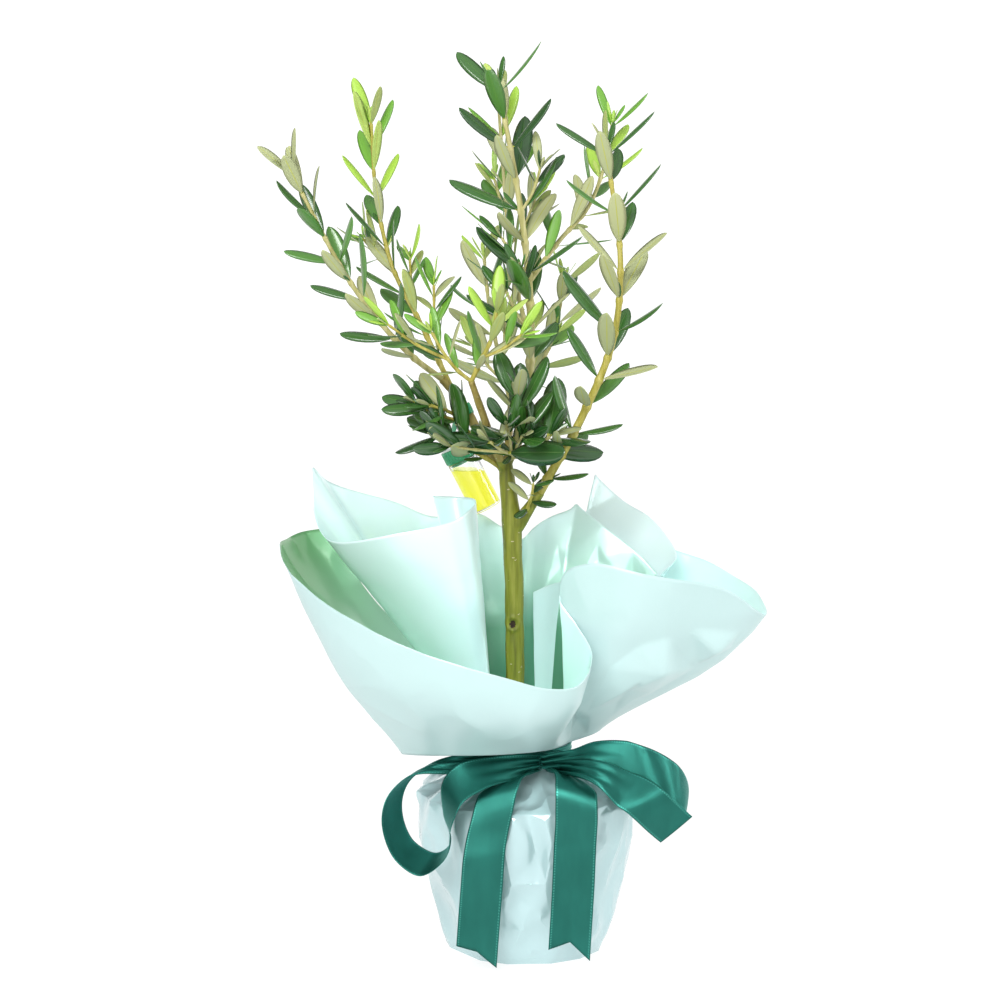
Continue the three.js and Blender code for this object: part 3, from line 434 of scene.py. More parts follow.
# Foliage: sizes as in the model, with the tones of each spray and the share of leaves that show the underside
FRONT_LIGHT = (-0.2, -0.8, 0.56)
BACK_LIGHT = (0, 0.6, 0.8)
LEAF_BROAD = 0.34
MASSES = {
    "foliage_low_left": [
        {
            "path": [(-12, 0, 293), (-26, -7, 303), (-38, -11, 310), (-52, -13, 318)],
            "thick": (1.7, 0.9), "first": 10, "gap": 8, "leaf": (32, 38, 34), "open": (75, 40),
            "phase": 85, "twigs": 0.9, "lowest": 301, "slim": LEAF_BROAD, "seed": 129,
            "tones": ("dark", "deep", "deep"), "under": 0.12,
        },
        {
            "path": [(-26, -7, 303), (-34, -2, 316), (-44, -4, 328), (-58, -8, 334)],
            "thick": (1.2, 0.8), "first": 8, "gap": 9, "leaf": (26, 32, 30), "open": (65, 36),
            "phase": 60, "twigs": 0.6, "lowest": 298, "slim": LEAF_BROAD, "seed": 134,
            "tones": ("dark", "deep", "mid"), "under": 0.25,
        },
    ],
    "foliage_low_right": [
        {
            "path": [(-12, 0, 300), (-5, -10, 304), (4, -14, 308), (14, -17, 316)],
            "thick": (1.6, 0.9), "first": 8, "gap": 7.8, "leaf": (36, 42, 38), "open": (85, 48),
            "phase": 40, "twigs": 0.8, "lowest": 292, "slim": LEAF_BROAD, "seed": 142,
            "tones": ("dark", "dark", "deep"), "under": 0.1,
        },
        {
            "path": [(-5, -10, 304), (-6, -16, 316), (-5, -21, 328), (-6, -24, 340)],
            "thick": (1.2, 0.8), "first": 8, "gap": 9, "leaf": (34, 38, 34), "open": (65, 30),
            "phase": 20, "twigs": 0.6, "lowest": 292, "slim": LEAF_BROAD, "seed": 145,
            "tones": ("dark", "deep", "deep"), "under": 0.1,
        },
        {
            "path": [(-7, -7, 303), (-10, -19, 306), (-15, -28, 309), (-22, -33, 315)],
            "thick": (1.2, 0.8), "first": 6, "gap": 7, "leaf": (34, 36, 32), "open": (95, 60),
            "phase": 30, "twigs": 0.6, "lowest": 301, "slim": LEAF_BROAD, "seed": 173,
            "tones": ("dark", "deep", "dark"), "under": 0.1,
        },
    ],
    "foliage_front": [
        {
            "path": [(-33, -28, 350), (-27, -32, 363), (-21, -36, 376), (-18, -38, 392)],
            "thick": (1.5, 0.9), "first": 6, "gap": 9, "leaf": (24, 30, 27), "open": (52, 22),
            "phase": 10, "twigs": 0.7, "seed": 107, "tones": ("mid", "deep", "fresh"), "young": 0.5,
            "under": 0.15,
        },
        {
            "path": [(-33, -28, 350), (-42, -34, 358), (-50, -38, 369), (-56, -40, 380)],
            "thick": (1.2, 0.8), "first": 8, "gap": 9, "leaf": (24, 28, 22), "open": (56, 34),
            "phase": 50, "twigs": 0.5, "seed": 118, "tones": ("mid", "fresh", "deep"), "young": 0.8,
            "under": 0.3,
        },
    ],
    "foliage_leader": [
        {
            "path": [(2, 2, 345), (2, 0, 396), (-2, -4, 438), (-9, -9, 482), (-17, -12, 521)],
            "thick": (2.6, 1.3), "first": 8, "gap": 17, "leaf": (36, 47, 38), "open": (56, 46),
            "phase": 70, "twigs": 0.35, "seed": 41, "tones": ("deep", "dark", "mid"), "under": 0.24,
        },
        {
            "path": [(1, 2, 375), (-8, 20, 412), (-12, 32, 449), (-17, 38, 513)],
            "thick": (1.5, 0.9), "first": 26, "gap": 17, "leaf": (34, 36, 28), "open": (46, 28),
            "phase": 20, "twigs": 0.3, "seed": 52, "tones": ("mid", "fresh", "deep"), "young": 0.85,
            "under": 0.3,
        },
        {
            "path": [(2, -1, 408), (20, 23, 431), (38, 40, 451), (49, 50, 479), (53, 52, 501)],
            "thick": (1.6, 0.9), "first": 18, "gap": 15, "leaf": (34, 38, 28), "open": (50, 32),
            "phase": 60, "twigs": 0, "seed": 63, "tones": ("mid", "fresh", "mid"), "young": 0.68,
            "under": 0.35,
        },
    ],
    "foliage_right": [
        {
            "path": [(8, -6, 281), (34, -16, 330), (51, -24, 375), (55, -23, 420), (47, -15, 484)],
            "thick": (2.8, 1.2), "first": 6, "gap": 17, "leaf": (26, 43, 38), "open": (60, 46),
            "phase": 75, "twigs": 0, "seed": 96, "tones": ("deep", "mid", "deep"), "under": 0.26,
        },
        {
            "path": [(0, -4, 268), (1, -9, 273), (3, -13, 280), (4, -16, 288)],
            "thick": (1.1, 0.6), "first": 3, "gap": 5, "leaf": (14, 16, 15), "open": (85, 55),
            "phase": 75, "twigs": 0, "seed": 211, "slim": LEAF_BROAD, "tones": ("dark", "deep", "dark"),
            "under": 0.1,
        },
    ],
    "foliage_left_outer": [
        {
            "path": [(-51, 9, 348), (-72, 5, 365), (-104, -3, 405), (-139, -16, 472)],
            "thick": (1.9, 1), "first": 10, "gap": 15, "leaf": (36, 36, 30), "open": (50, 24),
            "phase": 80, "twigs": 0.4, "seed": 74, "tones": ("deep", "mid", "deep"), "under": 0.32,
        },
    ],
    "foliage_left_tall": [
        {
            "path": [(-44, 9, 340), (-64, 24, 380), (-82, 38, 415), (-92, 48, 458), (-95, 52, 502)],
            "thick": (1.7, 0.9), "first": 18, "gap": 16, "leaf": (32, 36, 32), "open": (48, 22),
            "phase": 30, "twigs": 0.5, "seed": 85, "tones": ("mid", "fresh", "deep"), "young": 0.66,
            "under": 0.3,
        },
    ],
    "foliage_back": [
        {
            "path": [(-9, 34, 330), (-15, 58, 352), (-22, 76, 382), (-26, 84, 418)],
            "thick": (1.7, 0.9), "first": 8, "gap": 16, "leaf": (32, 38, 30), "open": (60, 32),
            "phase": 40, "twigs": 0.5, "faces": BACK_LIGHT, "seed": 151, "tones": ("deep", "mid", "mid"),
            "young": 0.9, "under": 0.2,
        },
        {
            "path": [(-9, 34, 330), (6, 52, 348), (18, 66, 372), (24, 74, 404)],
            "thick": (1.5, 0.9), "first": 14, "gap": 15, "leaf": (32, 36, 28), "open": (58, 32),
            "phase": 70, "twigs": 0.5, "faces": BACK_LIGHT, "seed": 162,
            "tones": ("deep", "mid", "fresh"), "young": 0.9, "under": 0.2,
        },
    ],
}

# Growth: the same rule as the model's solids
LEAF_SLIM = 0.245
SHOOT = {"faces": FRONT_LIGHT, "slim": LEAF_SLIM, "lowest": 0, "young": 2}
LEAF_TURN = {"azimuth": 16, "open": 10, "length": 0.14, "width": 0.16, "bend": 0.1, "facing": 0.6}
LEAF_FACING = 1.1
TIP_PAIR = 2
GAP_STRAY = 0.15
TWIG = {
    "below": 0.6,
    "lean": 40,
    "length": (24, 40),
    "straight": 0.9,
    "rise": 0.2,
    "bare": 0.45,
    "thick": (1, 0.7),
    "gap": 9,
    "leaf": (22, 28, 22),
    "open": (50, 26),
    "phase": 45,
    "seed_step": 1000,
    "young": 0.75,
}
RANDOM = {"factor": 1664525, "step": 1013904223, "range": 4294967296}

# Finer growth: small leaves in the axils and a bud of young leaves at each tip
AXIL = {"chance": 0.34, "length": 0.34, "least": 0.7, "spread": 0.6, "open": 38, "bend": 0.05, "seed": 500}
BUD = {"leaves": 4, "length": (0.52, 0.34), "open": (20, 12), "turn": 45, "bend": -0.06}

# Room for leaves: how far they stay off limbs and vial, the points tested on a leaf, and those on the rest
LEAF_CLEAR = 0.5
CLEAR_TEST = {"starts": 0.2, "points": 6, "half": 0.4}
OBSTACLE_STEPS = 60
VIAL_STEPS = 12

# Leaf blade: shares along it, shares across it, and its form
BLADE_STATIONS = (0, 0.04, 0.08, 0.15, 0.25, 0.37, 0.5, 0.63, 0.76, 0.86, 0.93, 0.97, 1)
BLADE_HALVES = (0.1, 0.1, 0.13, 0.38, 0.64, 0.85, 0.97, 1, 0.93, 0.77, 0.55, 0.34, 0.04)
BLADE_COLUMNS = (-1, -0.55, -0.05, 0.05, 0.55, 1)
BLADE_STALK = 0.08
BLADE_STALK_HALF = 0.55
BLADE_STALK_FULL = 30
BLADE_TIP_HALF = 0.12
BLADE_RIB = 0.2
BLADE_EDGE_THINS = 0.6
BLADE_THICK = 0.4
BLADE_CAMBER = 0.24
BLADE_GROOVE = 0.12
STEM_SIDES = 9
STEM_STEP = 2.2
STEM_LEAST = 6
STEM_TIP = 0.45
STEM_KNOT = 0.28
STEM_KNOT_REACH = 1.8

# Leaf tones: upper face with its roughness, underside, and looks as roughness and gloss
TOPS = {
    "dark": ((0.018, 0.075, 0.015), 0.2),
    "deep": ((0.034, 0.125, 0.018), 0.22),
    "mid": ((0.07, 0.21, 0.03), 0.28),
    "fresh": ((0.14, 0.36, 0.03), 0.38),
    "lime": ((0.35, 0.58, 0.055), 0.42),
}
UNDERS = {
    "dark": (0.3, 0.34, 0.17),
    "deep": (0.41, 0.45, 0.24),
    "mid": (0.47, 0.5, 0.26),
    "fresh": (0.4, 0.48, 0.17),
    "lime": (0.45, 0.6, 0.15),
}
TOP_GLOSS = 0.9
UNDER_LOOK = (0.6, 0.3)
RIB_LOOK = (0.4, 0.5)
RIB_SHARE = 0.9
RIB_PALER = (0.03, 0.05, 0.012)
STALK_COLOR = (0.45, 0.47, 0.07)
STALK_LOOK = (0.5, 0.4)

# Dealing out of tones: a little under the three tones of a spray, and shares of the young leaves
TONE_SEED = 77
TONE_PICK = 2.999
YOUNG_LIME = 0.7
YOUNG_UNDER = 0.5

# Vial: clear tube with a yellow filling, hung behind the left bough
VIAL_FOOT = (-24, 33, 266)
VIAL_TILT = 27
VIAL_RADIUS = 9.5
VIAL_LENGTH = 34
VIAL_WALL = 1
VIAL_FILL = 27
VIAL_CAP_HEIGHT = 9
VIAL_BASE = 1.5
VIAL_BEVEL = 1.2
OIL_WETS = 0.05
OIL_BEVEL = 1
OIL_LEVEL = {"starts": 2, "short": 3}
CAP_OUT = 0.6
CAP_PLUG = 2
CAP_BEVEL = 0.8
CAP_RIBS = 30
CAP_RIB_DEPTH = 0.3
CAP_RIB = {"low": 1, "high": 0.8, "gap": 0.2, "rows": (0.18, 0.24, 0.76, 0.82), "wall": 0.05}
FIT = 0.3
GLASS_LOOK = {"color": (0.97, 1, 0.99), "roughness": 0.02, "Transmission_Weight": 1, "IOR": 1.46}
# The filling's emission is a painted yellow glow, standing in for light that passes through the oil.
OIL_LOOK_WITH_GLOW = {
    "color": (1, 0.95, 0.03), "roughness": 0.04, "Transmission_Weight": 0.6, "IOR": 1.46,
    "Emission_Strength": 0.2, "Emission_Color": (1, 0.96, 0.2, 1),
}
CAP_LOOK = {"color": (0.05, 0.43, 0.19), "roughness": 0.22, "Transmission_Weight": 0.3, "IOR": 1.45}
TIE_ROUND = (-36.5, 8.3, 329.5)
TIE_PLACE = 0.6
TIE_RADIUS = 0.8
TIE_KEEP = 5.5
TIE_BAND = {"half_thick": 0.35, "half_width_low": 1.2, "half_width_high": 3.4, "steps": 96, "sides": 14}

# Turned bodies: sides, rounding of corners, and how near counts as on the axis or on a wall
ROUND = 72
BEVEL_PART = 2.2
BEVEL_STEPS = 4
NEAR_AXIS = 0.05
NEAR = 0.01

# Fine grain of each material: size and detail of the noise, strength, and depth in metres
GRAINS = {
    "film": (240, 6, 0.12, 0.0006),
    "bark": (900, 4, 0.4, 0.0004),
    "leaf": (300, 2, 0.03, 0.0004),
    "glass": (60, 2, 0.03, 0.0004),
    "oil": (50, 2, 0.03, 0.0004),
    "cap": (300, 3, 0.1, 0.0004),
}

# Speckled materials: two colours, size of the speckles, roughness and strength of the bump
SPECKLES = {
    "bark_spot": ((0.42, 0.36, 0.2), (0.55, 0.5, 0.32), 400, 0.8, 0.3),
    "bark_scar": ((0.012, 0.007, 0.004), (0.05, 0.028, 0.014), 500, 0.9, 0.6),
    "pot_moulded": ((0.2, 0.09, 0.05), (0.27, 0.125, 0.07), 60, 0.6, 0.15),
    "soil_compost": ((0.018, 0.01, 0.006), (0.075, 0.045, 0.025), 260, 0.95, 0.8),
}
SPECKLE = {"detail": 5, "places": (0.3, 0.7), "finer": 2.5, "depth": 0.0008}

# Paths: points made in each span, and the share of the length that gives the way along
PATH_SAMPLES = 60
PATH_REACH = 0.004


# Curves and small sums


def unit(vector):
    vector = np.asarray(vector, float)
    return vector / np.linalg.norm(vector, axis=-1, keepdims=True)


def smooth_step(value):
    value = np.clip(value, 0, 1)
    return value * value * (3 - 2 * value)


def read_along(values, share):
    values = np.asarray(values, float)
    return np.interp(np.asarray(share) * (len(values) - 1), np.arange(len(values)), values)


def spline(points, samples, closed=False):
    """Points on a smooth curve through the given ones, the same count in each span."""
    points = np.asarray(points, float)
    count = len(points)
    share = np.linspace(0, 1, samples, endpoint=False)[:, None]
    runs = []
    for k in range(count if closed else count - 1):
        here, there = points[k], points[(k + 1) % count]
        before = points[k - 1] if closed or k > 0 else 2 * here - there
        after = points[(k + 2) % count] if closed or k + 2 < count else 2 * there - here
        spans = ((before, here), (here, there), (there, after))
        d0, d1, d2 = (math.sqrt(np.linalg.norm(b - a)) for a, b in spans)
        leave = ((here - before) / d0 - (there - before) / (d0 + d1) + (there - here) / d1) * d1
        arrive = ((there - here) / d1 - (after - here) / (d1 + d2) + (after - there) / d2) * d1
        square = 3 * (there - here) - 2 * leave - arrive
        cube = 2 * (here - there) + leave + arrive
        runs.append(here + leave * share + square * share**2 + cube * share**3)
    runs.append(points[:1] if closed else points[-1:])
    return np.concatenate(runs)


class Path:
    """A smooth curve that is read by the share of its length."""

    def __init__(self, points, closed=False):
        self.points = spline(points, PATH_SAMPLES, closed)
        steps = np.linalg.norm(np.diff(self.points, axis=0), axis=1)
        self.run = np.concatenate([[0], np.cumsum(steps)])
        self.length = self.run[-1]

    def at(self, share):
        place = np.asarray(share) * self.length
        return np.stack([np.interp(place, self.run, self.points[:, k]) for k in range(3)], axis=-1)

    def along(self, share):
        share = np.asarray(share, float)
        low = np.clip(share - PATH_REACH, 0, 1)
        high = np.clip(share + PATH_REACH, 0, 1)
        return unit(self.at(high) - self.at(low))


def frame_at(path, share):
    """Point, way along and two ways across, the first one turned to the front."""
    along = path.along(share)
    front = np.zeros_like(along)
    front[..., 1] = -1
    front = unit(front + along * along[..., 1:2])
    return path.at(share), along, front, np.cross(along, front)


def seeded(seed):
    """Draws that are the same each run, from -spread to spread."""
    state = seed

    def draw(spread):
        nonlocal state
        state = (state * RANDOM["factor"] + RANDOM["step"]) % RANDOM["range"]
        return spread * (2 * state / RANDOM["range"] - 1)

    return draw


def from_0_to_1(draw):
    return draw(0.5) + 0.5


def soft_noise(points, size, shift):
    """Smooth noise from -1 to 1 at each point, with bumps about as large as size."""
    size = np.broadcast_to(np.asarray(size, float), (3,))
    places = points.reshape(-1, 3) / size + shift
    values = [noise.noise(Vector(place)) for place in places.tolist()]
    return np.array(values).reshape(points.shape[:-1])


def creases(points, size, shift):
    """Noise with sharp ridges, from which it falls away."""
    return CREASE["ridge"] - CREASE["slope"] * np.abs(soft_noise(points, size, shift))


def relief(points, row, kind=soft_noise):
    """Noise from a row of amount, size and shift."""
    amount, size, shift = row
    return amount * kind(points, size, shift)


def round_axis(reach, angle, height):
    """Points at a reach, an angle and a height round the upright axis."""
    upright = np.broadcast_to(height, np.shape(angle))
    return np.stack([reach * np.cos(angle), reach * np.sin(angle), upright], axis=-1)


def full_turn(sides):
    return 2 * math.pi * np.arange(sides) / sides


# Meshes


def new_mesh(name, vertices, faces):
    mesh = bpy.data.meshes.new(name)
    mesh.from_pydata((np.asarray(vertices) * MM).tolist(), [], faces)
    return mesh


def new_object(name, data):
    thing = bpy.data.objects.new(name, data)
    bpy.context.scene.collection.objects.link(thing)
    return thing


def make_piece(name, vertices, faces, materials, nodes=(), tones=None, uvs=None, flat=0, crease=None):
    """A mesh piece in the object's frame, that stands for the named nodes.

    tones: material of each face. flat: how many of the last faces keep sharp edges.
    crease: angle in degrees from which an edge stays sharp.
    """
    mesh = new_mesh(name, vertices, faces)
    for material in materials:
        mesh.materials.append(material)
    if tones is not None:
        mesh.polygons.foreach_set("material_index", np.asarray(tones, np.int32))
    if uvs is not None:
        corners = np.zeros(len(mesh.loops), np.int32)
        mesh.loops.foreach_get("vertex_index", corners)
        layer = mesh.uv_layers.new(name="weave")
        layer.data.foreach_set("uv", np.asarray(uvs, np.float32)[corners].ravel())
    mesh.polygons.foreach_set("use_smooth", np.arange(len(mesh.polygons)) < len(mesh.polygons) - flat)
    mesh.update()
    if crease:
        mesh.set_sharp_from_angle(angle=math.radians(crease))
    piece = new_object(name, mesh)
    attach(piece, BODY)
    if nodes:
        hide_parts(*nodes)
    return piece


def grid_normals(grid):
    """Outward ways at the points of a grid of rows and columns."""
    return unit(np.cross(np.gradient(grid, axis=0), np.gradient(grid, axis=1)))


def grid_faces(rows, columns, start=0, round_rows=False, flip=False):
    index = start + np.arange(rows * columns).reshape(rows, columns)
    if round_rows:
        index = np.concatenate([index, index[:1]])
    a, b = index[:-1, :-1], index[1:, :-1]
    c, d = index[1:, 1:], index[:-1, 1:]
    corners = (a, d, c, b) if flip else (a, b, c, d)
    return np.stack([corner.ravel() for corner in corners], axis=1).tolist()


def capped_faces(sides, rings, flip=False):
    """Faces of a grid that runs round a body, with a cap at both ends."""
    first = [k * rings for k in range(sides)]
    last = [k * rings + rings - 1 for k in range(sides)]
    caps = [first, last[::-1]] if flip else [first[::-1], last]
    return grid_faces(sides, rings, round_rows=True, flip=flip) + caps


def loop_faces(rows, columns):
    """Faces of a grid that closes on itself both ways."""
    index = np.arange(rows * columns).reshape(rows, columns)
    below = np.roll(index, -1, axis=0)
    corners = (index, below, np.roll(below, -1, axis=1), np.roll(index, -1, axis=1))
    return np.stack([corner.ravel() for corner in corners], axis=1).tolist()


def thin_sheet(grid, thick):
    """Closed thin sheet over a grid: vertices, faces, and how many faces are on its front and on its back."""
    rows, columns = grid.shape[:2]
    out = grid_normals(grid) * thick / 2
    vertices = np.concatenate([(grid + out).reshape(-1, 3), (grid - out).reshape(-1, 3)])
    size = rows * columns
    front = grid_faces(rows, columns)
    back = grid_faces(rows, columns, start=size, flip=True)
    border = list(range(columns))
    border += [i * columns + columns - 1 for i in range(1, rows)]
    border += [(rows - 1) * columns + j for j in range(columns - 2, -1, -1)]
    border += [i * columns for i in range(rows - 2, 0, -1)]
    rim = [(a, b, size + b, size + a) for a, b in zip(border, border[1:] + border[:1])]
    return vertices, front + back + rim, len(front), len(back)


def turned(profile, sides, ripple=None):
    """Closed turned body from a profile of radius and height that starts and ends near the axis."""
    angle = full_turn(sides)
    rings = []
    for radius, height in profile:
        reach = radius + (ripple(angle, radius, height) if ripple else 0)
        rings.append(round_axis(reach, angle, height))
    vertices = np.stack(rings, axis=1).reshape(-1, 3)
    return vertices, capped_faces(sides, len(profile))


def rounded(profile, bevel):
    """The profile with its inner corners rounded."""
    points = [np.asarray(point, float) for point in profile]
    out = [points[0]]
    for before, corner, after in zip(points, points[1:], points[2:]):
        back, ahead = before - corner, after - corner
        reach = min(bevel, np.linalg.norm(back) / BEVEL_PART, np.linalg.norm(ahead) / BEVEL_PART)
        start = corner + unit(back) * reach
        end = corner + unit(ahead) * reach
        for t in np.arange(BEVEL_STEPS + 1) / BEVEL_STEPS:
            out.append((1 - t) ** 2 * start + 2 * t * (1 - t) * corner + t**2 * end)
    out.append(points[-1])
    return [tuple(point) for point in out]


def tube(path, radii, sides, shares):
    """Closed tube along a path: vertices and faces."""
    point, _, front, side = frame_at(path, shares)
    angle = full_turn(sides)
    spoke = front[:, None] * np.cos(angle)[None, :, None] + side[:, None] * np.sin(angle)[None, :, None]
    grid = point[:, None] + spoke * np.asarray(radii)[:, None, None]
    return grid.transpose(1, 0, 2).reshape(-1, 3), capped_faces(sides, len(shares))


def joined(parts):
    """Several meshes as one: vertices and faces."""
    vertices, faces, start = [], [], 0
    for points, polygons in parts:
        vertices.append(points)
        faces += [[start + k for k in polygon] for polygon in polygons]
        start += len(points)
    return np.concatenate(vertices), faces


# Materials


def new_material(name, color, roughness, **sockets):
    material = bpy.data.materials.new(name)
    material.use_nodes = True
    shader = shader_of(material)
    shader.inputs["Base Color"].default_value = (*color, 1)
    shader.inputs["Roughness"].default_value = roughness
    for socket, value in sockets.items():
        shader.inputs[socket.replace("_", " ")].default_value = value
    return material


def shader_of(material):
    return material.node_tree.nodes["Principled BSDF"]


def add_node(material, kind, **values):
    node = material.node_tree.nodes.new(kind)
    for name, value in values.items():
        if name in node.inputs:
            node.inputs[name].default_value = value
        else:
            setattr(node, name, value)
    return node


def link(material, start, end):
    material.node_tree.links.new(start, end)


def place_of(material, stretch=(1, 1, 1), source="Object"):
    """Place on the piece, stretched along its axes."""
    place = add_node(material, "ShaderNodeTexCoord")
    mapping = add_node(material, "ShaderNodeMapping", Scale=stretch)
    link(material, place.outputs[source], mapping.inputs["Vector"])
    return mapping.outputs["Vector"]


def noise_of(material, scale, detail, stretch=(1, 1, 1)):
    texture = add_node(material, "ShaderNodeTexNoise", Scale=scale, Detail=detail)
    link(material, place_of(material, stretch), texture.inputs["Vector"])
    return texture.outputs["Fac"]


def clouds_of(material, colors, scale, detail, places, stretch=(1, 1, 1)):
    """Colours that pass into each other in clouds. places: the noise's value at each colour."""
    return ramp_of(material, noise_of(material, scale, detail, stretch), list(zip(places, colors)))


def math_of(material, operation, value, *numbers):
    node = add_node(material, "ShaderNodeMath", operation=operation)
    link(material, value, node.inputs[0])
    for socket, number in zip(node.inputs[1:], numbers):
        socket.default_value = number
    return node.outputs[0]


def axes_of(material, source="Object"):
    """Place on the piece, split into its axes."""
    split = add_node(material, "ShaderNodeSeparateXYZ")
    link(material, place_of(material, source=source), split.inputs["Vector"])
    return split.outputs


def ramp_of(material, value, stops):
    ramp = add_node(material, "ShaderNodeValToRGB")
    while len(ramp.color_ramp.elements) < len(stops):
        ramp.color_ramp.elements.new(0.5)
    for element, (place, color) in zip(ramp.color_ramp.elements, stops):
        element.position = place
        element.color = (*color, 1)
    link(material, value, ramp.inputs["Fac"])
    return ramp.outputs["Color"]


def bump_of(material, height, strength, distance):
    bump = add_node(material, "ShaderNodeBump", Strength=strength, Distance=distance)
    link(material, height, bump.inputs["Height"])
    link(material, bump.outputs["Normal"], shader_of(material).inputs["Normal"])


def add_grain(material, grain, stretch=(1, 1, 1)):
    scale, detail, strength, depth = GRAINS[grain]
    bump_of(material, noise_of(material, scale, detail, stretch), strength, depth)


def color_by(material, color):
    link(material, color, shader_of(material).inputs["Base Color"])


def color_film(material, colors):
    """The film's colour, as its base colour and as the colour of a painted glow that stands in for the light
    that comes through.
    """
    color_by(material, colors)
    link(material, colors, shader_of(material).inputs["Emission Color"])


def film_material(name, light, deep, roughness, clear, coat, pearl=FILM_PEARL, glow=0):
    """Pearly film. clear: how much of the light on it goes into it; glow: strength of a painted glow that
    stands in for the light that comes through.
    """
    material = new_material(
        name, light, roughness, Coat_Weight=coat, Coat_Roughness=roughness / 2, IOR=FILM_IOR, Metallic=pearl,
        Emission_Strength=glow, Subsurface_Weight=clear, Subsurface_Scale=FILM_DEPTH * MM,
        Subsurface_Radius=(1, 1, 1),
    )
    color_film(material, clouds_of(material, (deep, light), **FILM_CLOUDS))
    add_grain(material, "film")
    return material


def painted_shade_film_material(name, axis, span, stops):
    """Film with painted shade: darker and greener towards the first end of the span, where the collar's folds
    shade it, with a painted glow in the same colours. span: place along the axis of both ends.
    """
    pale = stops[-1][1]
    material = film_material(name, pale, pale, **PAINTED_SHADE_LOOK)
    across = add_node(material, "ShaderNodeMapRange")
    for socket, value in zip(across.inputs[1:3], span):
        socket.default_value = value * MM
    link(material, axes_of(material)[axis], across.inputs["Value"])
    color_film(material, ramp_of(material, across.outputs["Result"], stops))
    return material


def ribbon_material():
    """Satin weave with a row of small stitches along both edges."""
    dark, sheen, stitch = RIBBON_COLORS.values()
    material = new_material("ribbon_satin", dark, **RIBBON_LOOK)
    thread = add_node(material, "ShaderNodeTangent", direction_type="UV_MAP", uv_map="weave")
    link(material, thread.outputs["Tangent"], shader_of(material).inputs["Tangent"])
    weave = add_node(material, "ShaderNodeTexWave", **WEAVE)
    link(material, place_of(material, WEAVE_STRETCH, "UV"), weave.inputs["Vector"])
    bump_of(material, weave.outputs["Fac"], **WEAVE_BUMP)
    axes = axes_of(material, "UV")
    edge = math_of(material, "PINGPONG", axes["X"], 0.5)
    line = math_of(material, "COMPARE", edge, STITCH["place"], STITCH["half"])
    row = math_of(material, "PINGPONG", axes["Y"], STITCH["gap"])
    dash = math_of(material, "GREATER_THAN", row, STITCH["dash"])
    both = math_of(material, "MULTIPLY", line)
    link(material, dash, both.node.inputs[1])
    mix = add_node(material, "ShaderNodeMix", data_type="RGBA")
    ground, thread_color = (socket for socket in mix.inputs if socket.type == "RGBA")
    link(material, clouds_of(material, (dark, sheen), **RIBBON_CLOUDS), ground)
    thread_color.default_value = (*stitch, 1)
    link(material, both, mix.inputs["Factor"])
    color_by(material, next(socket for socket in mix.outputs if socket.type == "RGBA"))
    return material


def bark_material(name):
    colors = BARK_COLORS[name]
    material = new_material(name, colors[1], **BARK_LOOK)
    color_by(material, clouds_of(material, colors, **BARK_STREAKS))
    add_grain(material, "bark", BARK_GRAIN_STRETCH)
    return material


def grained_material(name, grain, **look):
    """Plain colour with a fine grain."""
    material = new_material(name, **look)
    add_grain(material, grain)
    return material


def leaf_material(name, color, roughness, gloss):
    return grained_material(name, "leaf", color=color, roughness=roughness, Specular_IOR_Level=gloss)


def speckled_material(name):
    low, high, scale, roughness, bump = SPECKLES[name]
    material = new_material(name, low, roughness)
    color_by(material, clouds_of(material, (low, high), scale, SPECKLE["detail"], SPECKLE["places"]))
    bump_of(material, noise_of(material, scale * SPECKLE["finer"], SPECKLE["detail"]), bump, SPECKLE["depth"])
    return material


# Film


def fold_point(bearing):
    turn, radius, height = spline(FOLD, SHEET_STEPS).T
    reach = np.interp(bearing, turn, radius)
    return round_axis(reach, np.radians(bearing), np.interp(bearing, turn, height))


def fold_strength(bearing):
    from_left = (bearing - FOLD[0][0] + FOLD_SOFTENS) / FOLD_SOFTENS
    from_right = (FOLD[-1][0] - bearing + FOLD_SOFTENS) / FOLD_SOFTENS
    return smooth_step(np.minimum(from_left, from_right))


def collar_grid(rim, neck_radius, folded):
    """Grid of points that rise from the neck, over the fold where there is one, to the rim."""
    top = spline([point[:3] for point in rim], SHEET_STEPS)
    share = np.linspace(0, 1, len(top))
    bearing = read_along([point[3] for point in rim], share)
    angle = np.radians(bearing)
    neck = round_axis(neck_radius, angle, NECK_HEIGHT)
    middle = neck + (top - neck) * FOLD_SHARE
    swell = np.zeros(len(top))
    if folded:
        middle += (fold_point(bearing) - middle) * fold_strength(bearing)[:, None]
        swell = read_along(SWELL, share)
    out = unit(round_axis(1, angle, -1)) * swell[:, None]
    columns = []
    for rise in np.linspace(0, 1, SHEET_COLUMNS):
        if rise < FOLD_ROWS:
            columns.append(neck + (middle - neck) * rise / FOLD_ROWS)
        else:
            part = (rise - FOLD_ROWS) / (1 - FOLD_ROWS)
            columns.append(middle + (top - middle) * part + out * math.sin(math.pi * part**SWELL_PLACE))
    return np.stack(columns, axis=1)


def crumpled(grid, amount, shift):
    """The sheet with broad waves and faint creases above its fold."""
    out = grid_normals(grid)
    rise = np.linspace(0, 1, grid.shape[1])
    ease = smooth_step((rise - FOLD_ROWS) / CRUMPLE_STARTS)[None, :]
    move = amount * CRUMPLE["waves"] * soft_noise(grid, CRUMPLE["wave_size"], shift)
    move = move + amount * creases(grid, CRUMPLE["crease_size"], shift + CRUMPLE["crease_shift"])
    return grid + out * (move * ease)[..., None]


def cross_flat(a, b):
    return a[..., 0] * b[..., 1] - a[..., 1] * b[..., 0]


